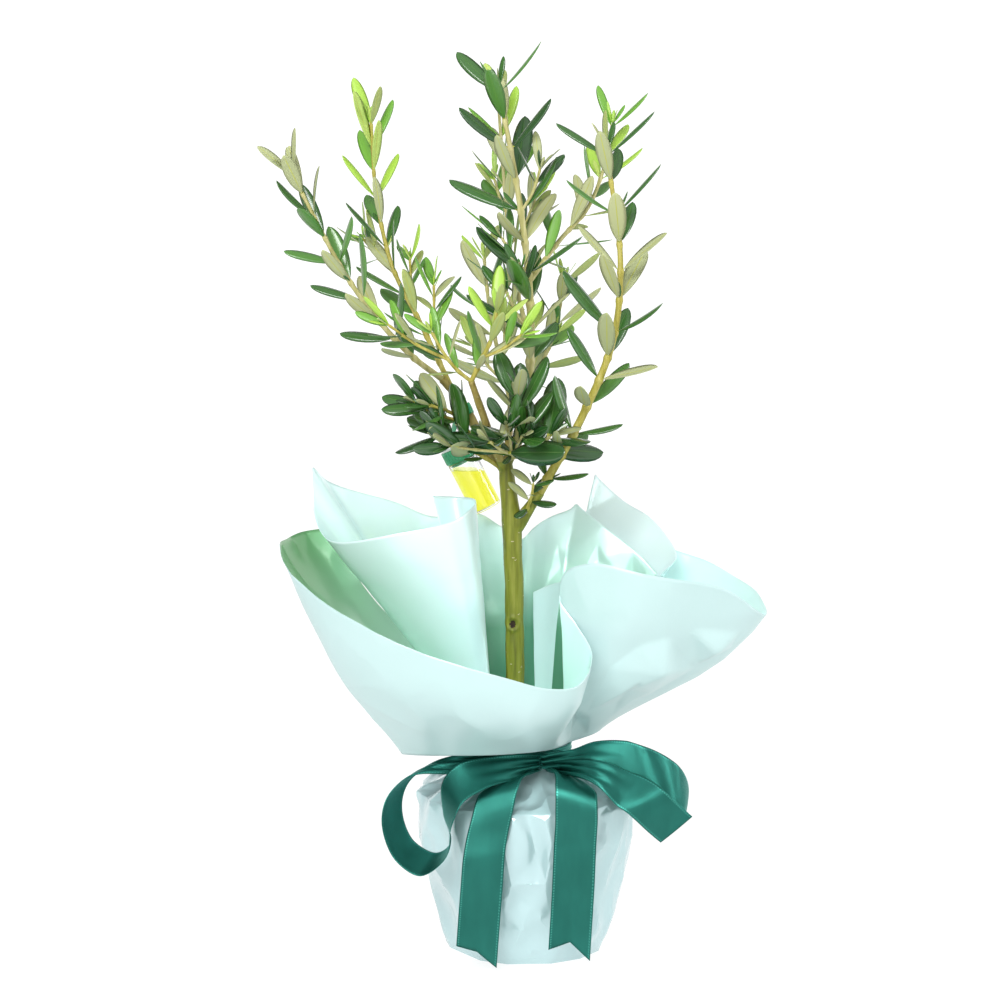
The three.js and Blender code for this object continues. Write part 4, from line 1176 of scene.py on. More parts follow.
def facet_rise(flat, point, corners):
    """1 at the point, 0 outside its ring of corners, with flat facets between."""
    rise = np.zeros(flat.shape[:-1])
    away = flat - np.asarray(point, float)
    ring = np.asarray(corners, float) - np.asarray(point, float)
    for here, there in zip(ring, np.roll(ring, -1, axis=0)):
        whole = cross_flat(here, there)
        to_here = cross_flat(away, there) / whole
        to_there = cross_flat(here, away) / whole
        inside = (to_here >= 0) & (to_there >= 0) & (to_here + to_there <= 1)
        rise = np.where(inside, 1 - to_here - to_there, rise)
    return rise


def dented(grid, dents):
    """The sheet with faceted dents."""
    flat = grid[..., [0, 2]]
    move = sum(depth * facet_rise(flat, point, corners) for point, corners, depth in dents)
    return grid + grid_normals(grid) * move[..., None]


def make_collar(films):
    for number, (name, sheet) in enumerate(SHEETS.items()):
        grid = collar_grid(sheet["rim"], sheet["neck"], name == FOLDED_SHEET)
        grid = crumpled(grid, sheet["crumple"], CRUMPLE["shift"] + CRUMPLE["shift_step"] * number)
        if name in COLLAR_DENTS:
            grid = dented(grid, COLLAR_DENTS[name])
        vertices, faces, front, back = thin_sheet(grid, FILM)
        tones = np.zeros(len(faces), np.int32)
        tones[front:front + back] = 1
        skins = [films[skin] for skin in sheet["skins"]]
        make_piece(f"collar_{name}", vertices, faces, skins, [name], tones,
                   flat=len(faces) - front - back)


def wrap_radius(height):
    return np.interp(height, WRAP_HEIGHTS, WRAP_RADII)


def wrap_scatter():
    """Crease points on the wrap's side: turn round the axis, height and distance out of the round form."""
    rng = np.random.default_rng(WRAP_STRAY["seed"])
    top = WRAP_HEIGHTS[-1]
    points = []
    for point, corners, depth in WRAP_DENTS:
        for x, height, out in [(*point, depth)] + [(*corner, WRAP_DENT_RIM) for corner in corners]:
            turn = 0.5 + math.asin(x / float(wrap_radius(height))) / (2 * math.pi)
            points.append((turn, min(height, top - WRAP_TOP_KEEP), out))
    for share, count in WRAP_ROWS:
        for k in range(count):
            turn = (k + 0.5 + rng.uniform(-1, 1) * WRAP_STRAY["around"]) / count
            height = top * (share + rng.uniform(-1, 1) * WRAP_STRAY["up"])
            out = rng.uniform(-WRAP_STRAY["in"], WRAP_STRAY["out"])
            around = 2 * math.pi * float(wrap_radius(height))
            near = [math.hypot((turn - other[0]) * around, height - other[1]) for other in points]
            if min(near) > WRAP_STRAY["keep"]:
                points.append((turn, height, out))
    for share, count in WRAP_ROWS:
        out = rng.uniform(-WRAP_STRAY["in"], WRAP_STRAY["out"])
        points += [(0, top * share, out), (1, top * share, out)]
    feet = np.linspace(0, 1, WRAP_FOOT_POINTS + 1)
    feet[1:-1] += rng.uniform(-1, 1, WRAP_FOOT_POINTS - 1) * WRAP_STRAY["around"] / WRAP_FOOT_POINTS
    outs = -rng.random(WRAP_FOOT_POINTS + 1) * WRAP_STRAY["foot"]
    outs[-1] = outs[0]
    points += [(turn, 0, out) for turn, out in zip(feet, outs)]
    pleat = WRAP_SHOULDER[0][2]
    ring = 2 * WRAP_PLEATS
    points += [(k / ring, top, pleat * (-1) ** k) for k in range(ring + 1)]
    return np.array(points)


def wrap_place(turn, height, radius):
    """Point at a turn round the axis that starts and ends at the back."""
    return round_axis(radius, math.pi / 2 + 2 * math.pi * np.asarray(turn), height)


def side_facets():
    """Triangles between the crease points of the wrap's side, as corner places."""
    scatter = wrap_scatter()
    flat = [Vector((turn * 2 * math.pi * max(WRAP_RADII), height)) for turn, height, _ in scatter]
    _, _, triangles, origins, _, _ = geometry.delaunay_2d_cdt(flat, [], [], 0, WRAP_WELD)
    order = [origin[0] for origin in origins]
    radius = wrap_radius(scatter[:, 1]) + scatter[:, 2]
    places = wrap_place(scatter[:, 0], scatter[:, 1], radius)[order]
    return [places[list(triangle)] for triangle in triangles]


def shoulder_facets():
    """Pleats from the shoulder to the neck."""
    ring = 2 * WRAP_PLEATS
    turns = np.arange(ring + 1) / ring
    sign = (-1.0) ** np.arange(ring + 1)
    rows = [wrap_place(turns, height, radius + pleat * sign) for height, radius, pleat in WRAP_SHOULDER]
    facets = []
    for low, high in zip(rows, rows[1:]):
        for k in range(ring):
            facets.append(np.stack([low[k], low[k + 1], high[k + 1]]))
            facets.append(np.stack([low[k], high[k + 1], high[k]]))
    return facets


def foot_facets(sides):
    """Flat underside under the lowest edges of the side's triangles."""
    facets = []
    for corners in sides:
        low = [corner for corner in corners if corner[2] < WRAP_WELD]
        if len(low) == 2:
            facets.append(np.stack([*low, np.zeros(3)]))
    return facets


def triangle_edges(faces):
    return np.concatenate([faces[:, [0, 1]], faces[:, [1, 2]], faces[:, [2, 0]]])


def face_ways(points, faces):
    """The way each triangle looks, as long as twice its area."""
    a, b, c = (points[faces[:, k]] for k in range(3))
    return np.cross(b - a, c - a)


def split_facets(facets):
    """Each triangle cut into small ones: shared vertices and faces that look outward."""
    steps = [(i, j) for i in range(WRAP_SPLITS + 1) for j in range(WRAP_SPLITS + 1 - i)]
    index = {step: k for k, step in enumerate(steps)}
    weights = np.array([(WRAP_SPLITS - i - j, i, j) for i, j in steps]) / WRAP_SPLITS
    small = []
    for i, j in steps:
        if i + j < WRAP_SPLITS:
            small.append((index[i, j], index[i + 1, j], index[i, j + 1]))
        if i + j < WRAP_SPLITS - 1:
            small.append((index[i + 1, j], index[i + 1, j + 1], index[i, j + 1]))
    points = np.concatenate([weights @ corners for corners in facets])
    _, first, same = np.unique(np.round(points, WRAP_DIGITS), axis=0, return_index=True, return_inverse=True)
    starts = np.arange(len(facets)) * len(steps)
    faces = same.ravel()[(starts[:, None, None] + np.array(small)[None]).reshape(-1, 3)]
    points = points[first]
    from_middle = points[faces].mean(axis=1) - (0, 0, max(WRAP_HEIGHTS) / 2)
    turned_in = (from_middle * face_ways(points, faces)).sum(axis=1) < 0
    faces[turned_in] = faces[turned_in][:, ::-1]
    return points, faces


def vertex_ways(points, faces):
    """Outward way at each vertex."""
    ways = np.zeros_like(points)
    for k in range(3):
        np.add.at(ways, faces[:, k], face_ways(points, faces))
    return unit(ways)


def rounded_creases(points, faces, free):
    """Points drawn toward the middle of their neighbours where they are free to move."""
    edges = np.unique(np.sort(triangle_edges(faces), axis=1), axis=0)
    count = np.bincount(edges.ravel(), minlength=len(points))
    for _ in range(WRAP_ROUNDING["passes"]):
        total = np.zeros_like(points)
        np.add.at(total, edges[:, 0], points[edges[:, 1]])
        np.add.at(total, edges[:, 1], points[edges[:, 0]])
        points = points + WRAP_ROUNDING["share"] * free[:, None] * (total / count[:, None] - points)
    return points


def clear_of_pot(grid):
    """The film pushed out where it would cut into the pot."""
    height = grid[..., 2] - POT_FLOOR
    share = np.clip(height / POT_HEIGHT, 0, 1)
    lip = smooth_step((height - POT_HEIGHT + POT_LIP_HEIGHT + POT_LIP_SLOPE) / POT_LIP_SLOPE)
    least = POT_BASE_RADIUS + (POT_RIM_RADIUS - POT_BASE_RADIUS) * share + POT_LIP_OUT * lip + POT_CLEAR
    least = np.where(height < POT_HEIGHT + POT_CLEAR, least, 0)
    reach = np.hypot(grid[..., 0], grid[..., 1])
    push = np.where(height > 0, np.maximum(1, least / reach), 1)
    return grid * np.stack([push, push, np.ones_like(push)], axis=-1)


def make_wrap(films):
    """The wrapped pot's film: facets with soft creases, pleats below the neck and a flat underside."""
    sides = side_facets()
    points, faces = split_facets(sides + shoulder_facets() + foot_facets(sides))
    from_neck = WRAP_SHOULDER[-2][0] - points[:, 2]
    free = smooth_step(points[:, 2] / WRAP_HOLD["foot"]) * smooth_step(from_neck / WRAP_HOLD["neck"])
    points = rounded_creases(points, faces, free)
    ways = vertex_ways(points, faces)
    soft = relief(points, WRAP_SOFT["broad"]) + relief(points, WRAP_SOFT["fine"])
    soft += relief(points, WRAP_SOFT["crumple"], creases)
    outer = clear_of_pot(points + ways * (soft * free)[:, None])
    outer[:, 2] = np.maximum(outer[:, 2], 0)
    inner = outer - vertex_ways(outer, faces) * FILM
    count = len(outer)
    both = {tuple(edge) for edge in triangle_edges(faces).tolist()}
    rims = [(b, a, count + a, count + b) for a, b in both if (b, a) not in both]
    polygons = faces.tolist() + (faces[:, ::-1] + count).tolist() + rims
    tones = np.zeros(len(polygons), np.int32)
    tones[len(faces):2 * len(faces)] = 1
    skins = [films["tight"], films["inside"]]
    make_piece("wrap_film", np.concatenate([outer, inner]), polygons, skins, ["film_wrap"], tones,
               crease=CREASE_ANGLE)


# Ribbon


def ribbon_grid(rows, ends):
    """Ribbon gathered into folds where it is narrower than its own width, with a slight curve across."""
    rows = np.asarray(rows, float)
    middle = spline(rows[:, :3], RIBBON_STEPS)
    steady = np.column_stack([np.arange(len(rows)), rows[:, 3:6]])
    across = unit(spline(steady, RIBBON_STEPS)[:, 1:])
    along = unit(np.gradient(middle, axis=0))
    share = np.linspace(0, 1, len(middle))
    width = np.clip(read_along(rows[:, 6], share), 0, 1)
    out = unit(np.cross(along, across))
    place = np.linspace(-1, 1, RIBBON_COLUMNS)
    half = RIBBON_WIDTH / 2 * width
    fold = RIBBON_FOLD_DEPTH * (1 - width)[:, None] * np.cos(RIBBON_FOLDS * math.pi * place)[None, :]
    camber = -RIBBON_CAMBER * width[:, None] * place[None, :] ** 2
    wave = RIBBON_WAVE * width * np.sin(math.pi * share) * np.sin(math.pi * RIBBON_WAVES * share) ** 2
    grid = middle[:, None] + across[:, None] * (half[:, None] * place[None, :])[..., None]
    grid = grid + out[:, None] * (fold + camber + wave[:, None])[..., None]
    near_end = smooth_step((share - RIBBON_END["starts"]) / RIBBON_END["runs"])
    stretch = near_end[:, None] * read_along(ends, (place + 1) / 2)[None, :]
    return grid + along[:, None] * stretch[..., None]


def ribbon_uvs(grid):
    """Place across the ribbon from 0 to 1, and along it in widths."""
    rows, columns = grid.shape[:2]
    steps = np.linalg.norm(np.diff(grid[:, columns // 2], axis=0), axis=1)
    run = np.concatenate([[0], np.cumsum(steps)]) / RIBBON_WIDTH
    across = np.broadcast_to(np.linspace(0, 1, columns)[None, :], (rows, columns))
    uv = np.stack([across, np.broadcast_to(run[:, None], (rows, columns))], axis=2).reshape(-1, 2)
    return np.concatenate([uv, uv])


def make_runs(satin):
    for name, run in RIBBON_RUNS.items():
        grid = ribbon_grid(run["rows"], run["ends"])
        vertices, faces, front, back = thin_sheet(grid, RIBBON_THICK)
        make_piece(f"satin_{name}", vertices, faces, [satin], [name], uvs=ribbon_uvs(grid),
                   flat=len(faces) - front - back)


def make_knot(satin):
    """Tight knot: a rounded lump whose surface is folded ribbon, running round it."""
    rows, columns = KNOT["rows"], KNOT["columns"]
    turn = full_turn(rows)
    rise = np.linspace(KNOT["pole"], math.pi - KNOT["pole"], columns)
    least, most = KNOT["fold_fade"]
    fade = (least + most * np.cos(turn))[:, None]
    folds = 1 + KNOT["fold_depth"] * np.sin(KNOT["folds"] * rise)[None, :] * fade
    waist = 1 - KNOT["waist"] * np.cos(2 * turn)[:, None] * np.sin(rise)[None, :]
    ball = np.stack([
        np.broadcast_to(np.cos(rise)[None, :], (rows, columns)),
        np.cos(turn)[:, None] * np.sin(rise)[None, :],
        np.sin(turn)[:, None] * np.sin(rise)[None, :],
    ], axis=2)
    lump = ball * (folds * waist)[..., None] * np.asarray(KNOT["radii"]) * KNOT["size"]
    vertices = (lump + np.asarray(KNOT["middle"])).reshape(-1, 3)
    uv = np.stack(np.meshgrid(turn / KNOT["widths"], rise / math.pi, indexing="ij")[::-1], axis=2)
    faces = capped_faces(rows, columns, flip=True)
    make_piece("satin_knot", vertices, faces, [satin], ["ribbon_knot"], uvs=uv.reshape(-1, 2))


def make_band(satin):
    """Ribbon pulled tight round the neck, with folds that run round it."""
    inside, outside = BAND["radius"], BAND["radius"] + BAND["thick"]
    heights = np.linspace(BAND["low"], BAND["high"], BAND["rows"])
    wall = [(outside + BAND["fold_depth"] * math.sin(BAND["folds"] * height), height) for height in heights]
    profile = wall + [(inside + BAND["clear"], height) for height in heights[::-1]]
    sides, columns = ROUND * 2, len(profile)
    angle = full_turn(sides)
    wave = BAND["wave"] * np.sin(BAND["waves"] * angle)
    grid = np.stack([round_axis(radius, angle, height + wave) for radius, height in profile], axis=1)
    places = np.meshgrid(np.linspace(0, BAND["widths"], sides), np.linspace(0, 1, columns), indexing="ij")
    uv = np.stack(places[::-1], axis=2)
    vertices, faces = grid.reshape(-1, 3), loop_faces(sides, columns)
    make_piece("satin_band", vertices, faces, [satin], ["ribbon_band"], uvs=uv.reshape(-1, 2))


# Trunk and boughs


def limb_tube(limb):
    path = Path(limb["path"])
    shares = np.linspace(0, 1, max(LIMB_LEAST, round(path.length / LIMB_STEP)))
    return tube(path, read_along(limb["radii"], shares), LIMB_SIDES, shares)


def fused_limbs():
    """Trunk and boughs grown into one skin."""
    vertices, faces = joined([limb_tube(limb) for limb in LIMBS.values()])
    rough = new_object("limbs", new_mesh("limbs", vertices, faces))
    remesh = rough.modifiers.new("skin", "REMESH")
    remesh.mode = "VOXEL"
    remesh.voxel_size = BARK_VOXEL * MM
    seen = rough.evaluated_get(bpy.context.evaluated_depsgraph_get())
    skin = bpy.data.meshes.new_from_object(seen)
    bpy.data.objects.remove(rough)
    points = np.zeros(len(skin.vertices) * 3)
    skin.vertices.foreach_get("co", points)
    ways = np.zeros(len(skin.vertices) * 3)
    skin.vertices.foreach_get("normal", ways)
    polygons = [list(polygon.vertices) for polygon in skin.polygons]
    bpy.data.meshes.remove(skin)
    return points.reshape(-1, 3) / MM, ways.reshape(-1, 3), polygons


def scar_distance(points):
    """Distance from the pruning scar's middle, in its own half sizes, on the trunk's front."""
    away = points - np.asarray(SCAR["middle"])
    flat = np.hypot(away[:, 0] / SCAR["half_width"], away[:, 2] / SCAR["half_height"])
    return np.where(points[:, 1] < 0, flat, FAR)


def lenticel_distance(points):
    """Distance from the nearest of the small pale spots on the bark, in spot sizes."""
    rng = np.random.default_rng(LENTICELS["seed"])
    spots = points[rng.choice(len(points), LENTICELS["count"], replace=False)]
    nearest = np.full(len(points), float(FAR))
    for spot in spots:
        away = (points - spot) / LENTICELS["size"]
        nearest = np.minimum(nearest, np.sqrt((away * away * LENTICELS["flat"]).sum(axis=1)))
    return nearest


def bark_rise(points, away, spot):
    """How far the bark stands out at each point. away and spot: distance from the scar and from the spots."""
    low = smooth_step((BARK_ROUGH["below"] - points[:, 2]) / BARK_ROUGH["over"])
    rise = relief(points, BARK_RELIEF["streaks"]) * (1 + low)
    rise += relief(points, BARK_RELIEF["knobs"])
    rise += relief(points, BARK_RELIEF["grain"])
    rise += LENTICELS["rise"] * np.clip(1 - spot, 0, 1)
    from_fork = np.linalg.norm(points - np.asarray(FORK["middle"]), axis=1) / FORK["reach"]
    rise += BARK_FULL + FORK["rise"] * np.exp(-from_fork**2)
    rim = SCAR["rim"] * np.exp(-((away - SCAR["rim_place"]) / SCAR["rim_width"]) ** 2)
    rise += rim - SCAR["pit"] * np.exp(-((away / SCAR["pit_width"]) ** 2))
    return rise * smooth_step((points[:, 2] - TRUNK_FOOT) / BARK_FOOT)


def make_bark():
    points, ways, faces = fused_limbs()
    away = scar_distance(points)
    spot = lenticel_distance(points)
    vertices = points + ways * bark_rise(points, away, spot)[:, None]
    firsts = np.array([polygon[0] for polygon in faces])
    tones = np.zeros(len(faces), np.int32)
    tones[points[firsts, 2] > BOUGH_STARTS] = 1
    tones[spot[firsts] < LENTICELS["pale"]] = 2
    tones[away[firsts] < SCAR["pit_width"]] = 3
    skins = [bark_material("bark_trunk"), bark_material("bark_bough")]
    skins += [speckled_material("bark_spot"), speckled_material("bark_scar")]
    make_piece("bark", vertices, faces, skins, list(LIMBS), tones)


# Growth of twigs and leaves


def out_way(front, side, azimuth):
    return front * math.cos(azimuth) + side * math.sin(azimuth)


def new_leaf(point, along, out, light, sizes):
    """One leaf: its root, its way, the way its upper face looks, and its sizes."""
    opened, long, wide, bend, turn = sizes
    way = along * math.cos(opened) + out * math.sin(opened)
    face = along * math.sin(opened) - out * math.cos(opened)
    face = unit(face + turn * (light - way * float(light @ way)))
    return {"point": point, "way": way, "face": face, "long": long, "wide": wide, "bend": bend}


def grow_shoot(shoot):
    """Places of all leaves and twigs on one shoot, pair by pair from the tip down."""
    random = seeded(shoot["seed"])
    path = Path(shoot["path"])
    light = unit(shoot["faces"])
    leaves, twigs, knots = [], [], []
    back, pair = TIP_PAIR, 0
    while back < path.length - shoot["first"]:
        share = 1 - back / path.length
        knots.append(share)
        point, along, front, side = frame_at(path, share)
        for half in (0, 1):
            azimuth = math.radians(shoot["phase"] + 90 * pair + 180 * half + random(LEAF_TURN["azimuth"]))
            opened = math.radians(read_along(shoot["open"], share) + random(LEAF_TURN["open"]))
            long = read_along(shoot["leaf"], share) * (1 + random(LEAF_TURN["length"]))
            slim = shoot["slim"] * (1 + random(LEAF_TURN["width"]))
            bend = random(LEAF_TURN["bend"])
            turn = LEAF_FACING + random(LEAF_TURN["facing"])
            out = out_way(front, side, azimuth)
            leaf = new_leaf(point, along, out, light, (opened, long, long * slim, bend, turn))
            if point[2] + leaf["way"][2] * long > shoot["lowest"]:
                leaves.append(dict(leaf, share=share))
        chance, across, reach = (from_0_to_1(random) for _ in range(3))
        if chance < shoot["twigs"] and share < TWIG["below"]:
            azimuth = math.radians(shoot["phase"] + 90 * pair + 180 * int(across + 0.5))
            root = (point, along, out_way(front, side, azimuth))
            twigs.append(twig_shoot(shoot, root, read_along(TWIG["length"], reach), pair))
        back += shoot["gap"] * (1 + random(GAP_STRAY))
        pair += 1
    return path, leaves, twigs, knots


def twig_shoot(shoot, root, reach, pair):
    """A side twig that grows as a small shoot from its root's point, way along and way out."""
    point, along, out = root
    lean = math.radians(TWIG["lean"])
    way = along * math.cos(lean) + out * math.sin(lean)
    tip = point + way * reach * TWIG["straight"] + along * reach * TWIG["rise"]
    twig = {key: TWIG[key] for key in ("thick", "gap", "leaf", "open", "phase")}
    twig.update(path=[point, point + way * reach / 2, tip], first=reach * TWIG["bare"], twigs=0)
    twig.update({key: shoot[key] for key in ("faces", "tones", "under", "lowest", "slim")})
    twig["young"] = max(shoot["young"], TWIG["young"])
    twig["seed"] = shoot["seed"] + TWIG["seed_step"] * (pair + 1)
    return twig


def finer_leaves(shoot, path, knots):
    """Small leaves in some axils, and a bud of young leaves at the tip."""
    random = seeded(shoot["seed"] + AXIL["seed"])
    light = unit(shoot["faces"])
    leaves = []
    for pair, share in enumerate(knots):
        chance, across, size = (from_0_to_1(random) for _ in range(3))
        if chance < AXIL["chance"]:
            point, along, front, side = frame_at(path, share)
            out = out_way(front, side, math.radians(shoot["phase"] + 90 * pair + 180 * int(across + 0.5)))
            usual = float(read_along(shoot["leaf"], share))
            long = usual * AXIL["length"] * (AXIL["least"] + AXIL["spread"] * size)
            sizes = (math.radians(AXIL["open"]), long, long * shoot["slim"], AXIL["bend"], LEAF_FACING)
            leaves.append(dict(new_leaf(point, along, out, light, sizes), share=share))
    point, along, front, side = frame_at(path, 1.0)
    for k in range(BUD["leaves"]):
        ring = k // 2
        out = out_way(front, side, math.radians(shoot["phase"] + BUD["turn"] + 90 * ring + 180 * k))
        long = shoot["leaf"][-1] * BUD["length"][ring]
        sizes = (math.radians(BUD["open"][ring]), long, long * shoot["slim"], BUD["bend"], LEAF_FACING)
        leaves.append(dict(new_leaf(point, along, out, light, sizes), share=1.0))
    return leaves


def blade_spine(leaf, share):
    """Points along the middle of the blade."""
    spine = leaf["point"] + np.outer(share * leaf["long"], leaf["way"])
    return spine + np.outer(leaf["bend"] * leaf["long"] * share**2, leaf["face"])


def blade_half(share):
    """Half width along the blade, as a share of its widest."""
    return np.interp(share, BLADE_STATIONS, BLADE_HALVES)


def blade_samples(leaf):
    """A few points on the blade, for telling what it touches."""
    share = np.linspace(CLEAR_TEST["starts"], 1, CLEAR_TEST["points"])
    across = np.cross(leaf["way"], leaf["face"])
    spine = blade_spine(leaf, share)
    edge = np.outer(blade_half(share) * leaf["wide"] * CLEAR_TEST["half"], across)
    return np.concatenate([spine - edge, spine, spine + edge])


def limb_obstacles():
    """Points along the limbs, the vial and its tie, with the radius to stay clear of at each."""
    points, radii = [], []
    shares = np.linspace(0, 1, OBSTACLE_STEPS)
    for limb in LIMBS.values():
        points.append(Path(limb["path"]).at(shares))
        radii.append(read_along(limb["radii"], shares))
    tilt = math.radians(VIAL_TILT)
    axis = np.array([-math.sin(tilt), 0, math.cos(tilt)])
    heights = np.linspace(0, VIAL_LENGTH + VIAL_CAP_HEIGHT, VIAL_STEPS)
    points.append(np.asarray(VIAL_FOOT) + np.outer(heights, axis))
    radii.append(np.full(VIAL_STEPS, VIAL_RADIUS + CAP_OUT))
    cap_top = points[-1][-1]
    points.append(cap_top + np.outer(np.linspace(0, 1, VIAL_STEPS), np.asarray(TIE_ROUND) - cap_top))
    radii.append(np.full(VIAL_STEPS, TIE_KEEP))
    return np.concatenate(points), np.concatenate(radii)


def is_clear(points, obstacles):
    middles, radii = obstacles
    away = np.linalg.norm(points[:, None] - middles[None, :], axis=2) - radii[None, :]
    return away.min() > LEAF_CLEAR


def leaf_tone(leaf, shoot, random):
    """Tone of the leaf by its spray, and whether its underside is turned to the light."""
    chance, pick = from_0_to_1(random), from_0_to_1(random)
    under = chance < shoot["under"]
    if leaf["share"] > shoot["young"]:
        return "lime" if pick < YOUNG_LIME else "fresh", under and pick < YOUNG_UNDER
    return shoot["tones"][int(pick * TONE_PICK)], under


def grow_mass(shoots, obstacles):
    """All stems and leaves of one mass, twigs among them."""
    stems, leaves = [], []
    waiting = [{**SHOOT, **shoot} for shoot in shoots]
    while waiting:
        shoot = waiting.pop(0)
        path, grown, twigs, knots = grow_shoot(shoot)
        stems.append((shoot, path, knots))
        waiting += twigs
        random = seeded(shoot["seed"] + TONE_SEED)
        for leaf in grown + finer_leaves(shoot, path, knots):
            leaf["tone"], under = leaf_tone(leaf, shoot, random)
            if under:
                leaf["face"] = -leaf["face"]
                leaf["bend"] = -leaf["bend"]
            if is_clear(blade_samples(leaf), obstacles):
                leaves.append(leaf)
    return stems, leaves


def blade_template():
    """Faces of one blade and the part of the leaf that each belongs to: top, under, rib or stalk."""
    rows, columns = len(BLADE_STATIONS), len(BLADE_COLUMNS)
    top = np.arange(rows * columns).reshape(rows, columns)
    under = top.copy()
    under[:, 1:-1] = rows * columns + np.arange(rows * (columns - 2)).reshape(rows, columns - 2)
    faces, parts = [], []
    for k in range(rows - 1):
        for c in range(columns - 1):
            stalk = BLADE_STATIONS[k + 1] <= BLADE_STALK
            rib = c == columns // 2 - 1
            faces.append((top[k, c], top[k, c + 1], top[k + 1, c + 1], top[k + 1, c]))
            parts.append("stalk" if stalk else "rib" if rib else "top")
            faces.append((under[k, c], under[k + 1, c], under[k + 1, c + 1], under[k, c + 1]))
            parts.append("stalk" if stalk or rib else "under")
    for k, turn in ((0, 1), (rows - 1, -1)):
        ring = list(top[k]) + list(under[k, -2:0:-1])
        faces.append(tuple(ring[::-turn]))
        parts.append("stalk" if k == 0 else "top")
    return faces, parts


def blade_points(leaf):
    """Points of one blade: its upper face, then its underside without the edges, which they share."""
    share = np.asarray(BLADE_STATIONS)
    columns = np.asarray(BLADE_COLUMNS)
    side = np.cross(leaf["way"], leaf["face"])
    stalk = BLADE_STALK_HALF * min(1, leaf["long"] / BLADE_STALK_FULL)
    half = np.maximum(blade_half(share) * leaf["wide"] / 2, stalk)
    half[-1] = BLADE_TIP_HALF
    across = half[:, None] * columns[None, :]
    sink = BLADE_CAMBER * half[:, None] * columns[None, :] ** 2
    sink = sink + BLADE_GROOVE * (np.abs(columns) < BLADE_RIB)[None, :]
    top = blade_spine(leaf, share)[:, None] + side * across[..., None] - leaf["face"] * sink[..., None]
    thick = np.minimum(BLADE_THICK, half)[:, None] * (1 - BLADE_EDGE_THINS * np.abs(columns))[None, :]
    under = (top - leaf["face"] * thick[..., None])[:, 1:-1]
    return np.concatenate([top.reshape(-1, 3), under.reshape(-1, 3)])


def leaf_materials():
    """Materials of the leaves, and the place of each in the list."""
    materials, places = [], {}
    for tone, (color, roughness) in TOPS.items():
        rib = tuple(RIB_SHARE * value + paler for value, paler in zip(color, RIB_PALER))
        looks = {
            "top": (f"leaf_{tone}", color, roughness, TOP_GLOSS),
            "under": (f"leaf_under_{tone}", UNDERS[tone], *UNDER_LOOK),
            "rib": (f"leaf_rib_{tone}", rib, *RIB_LOOK),
            "stalk": (f"leaf_stalk_{tone}", STALK_COLOR, *STALK_LOOK),
        }
        for part, look in looks.items():
            places[tone, part] = len(materials)
            materials.append(leaf_material(*look))
    return materials, places


def make_leaves(name, leaves, materials, places, template):
    faces, parts = template
    shapes, polygons, tones = [], [], []
    count = len(BLADE_STATIONS) * (2 * len(BLADE_COLUMNS) - 2)
    for number, leaf in enumerate(leaves):
        shapes.append(blade_points(leaf))
        start = number * count
        polygons += [[start + int(k) for k in face] for face in faces]
        tones += [places[leaf["tone"], part] for part in parts]
    label = name.replace("foliage", "leaves")
    make_piece(label, np.concatenate(shapes), polygons, materials, [name], tones)


def stem_tube(shoot, path, knots):
    """Slim stem, a little thicker where its leaves sit."""
    shares = np.linspace(0, 1, max(STEM_LEAST, round(path.length / STEM_STEP) * 2))
    radii = read_along(shoot["thick"], shares)
    for share in knots:
        away = (shares - share) * path.length / STEM_KNOT_REACH
        radii = radii + STEM_KNOT * read_along(shoot["thick"], share) * np.exp(-away * away)
    radii[-1] *= STEM_TIP
    return tube(path, radii, STEM_SIDES, shares)


def make_twigs(name, stems, skin):
    vertices, faces = joined([stem_tube(*stem) for stem in stems])
    label = name.replace("foliage", "twigs")
    make_piece(label, vertices, faces, [skin], [name])


def make_foliage():
    obstacles = limb_obstacles()
    template = blade_template()
    materials, places = leaf_materials()
    skins = [bark_material("twig_yellow"), bark_material("twig_pale")]
    for number, (name, shoots) in enumerate(MASSES.items()):
        stems, leaves = grow_mass(shoots, obstacles)
        make_leaves(name, leaves, materials, places, template)
        make_twigs(name, stems, skins[number % 2])


# Vial


def in_vial(vertices):
    turn = Matrix.Rotation(math.radians(-VIAL_TILT), 3, "Y")
    return np.asarray(vertices) @ np.array(turn).T + np.asarray(VIAL_FOOT)


def make_vial():
    inner = VIAL_RADIUS - VIAL_WALL
    glass = [(NEAR_AXIS, 0), (VIAL_RADIUS, 0), (VIAL_RADIUS, VIAL_LENGTH), (inner, VIAL_LENGTH),
             (inner, VIAL_BASE), (NEAR_AXIS, VIAL_BASE)]
    vertices, faces = turned(rounded(glass, VIAL_BEVEL), ROUND)
    clear = grained_material("vial_clear", "glass", **GLASS_LOOK)
    make_piece("vial_tube", in_vial(vertices), faces, [clear], ["vial_glass"])
    make_oil(inner + OIL_WETS)
    make_cap(inner - FIT)


def make_oil(radius):
    """Filling with a level top that wets the wall and the base of the tube."""
    low = VIAL_BASE - OIL_WETS
    profile = [(NEAR_AXIS, low), (radius, low), (radius, VIAL_FILL), (NEAR_AXIS, VIAL_FILL)]
    vertices, faces = turned(rounded(profile, OIL_BEVEL), ROUND)
    slope = math.tan(math.radians(VIAL_TILT))
    share = smooth_step((vertices[:, 2] - low - OIL_LEVEL["starts"]) / (VIAL_FILL - low - OIL_LEVEL["short"]))
    vertices[:, 2] -= slope * vertices[:, 0] * share
    # The filling's material carries a painted yellow glow.
    yellow = grained_material("vial_filling", "oil", **OIL_LOOK_WITH_GLOW)
    make_piece("vial_filling", in_vial(vertices), faces, [yellow], ["vial_oil"])


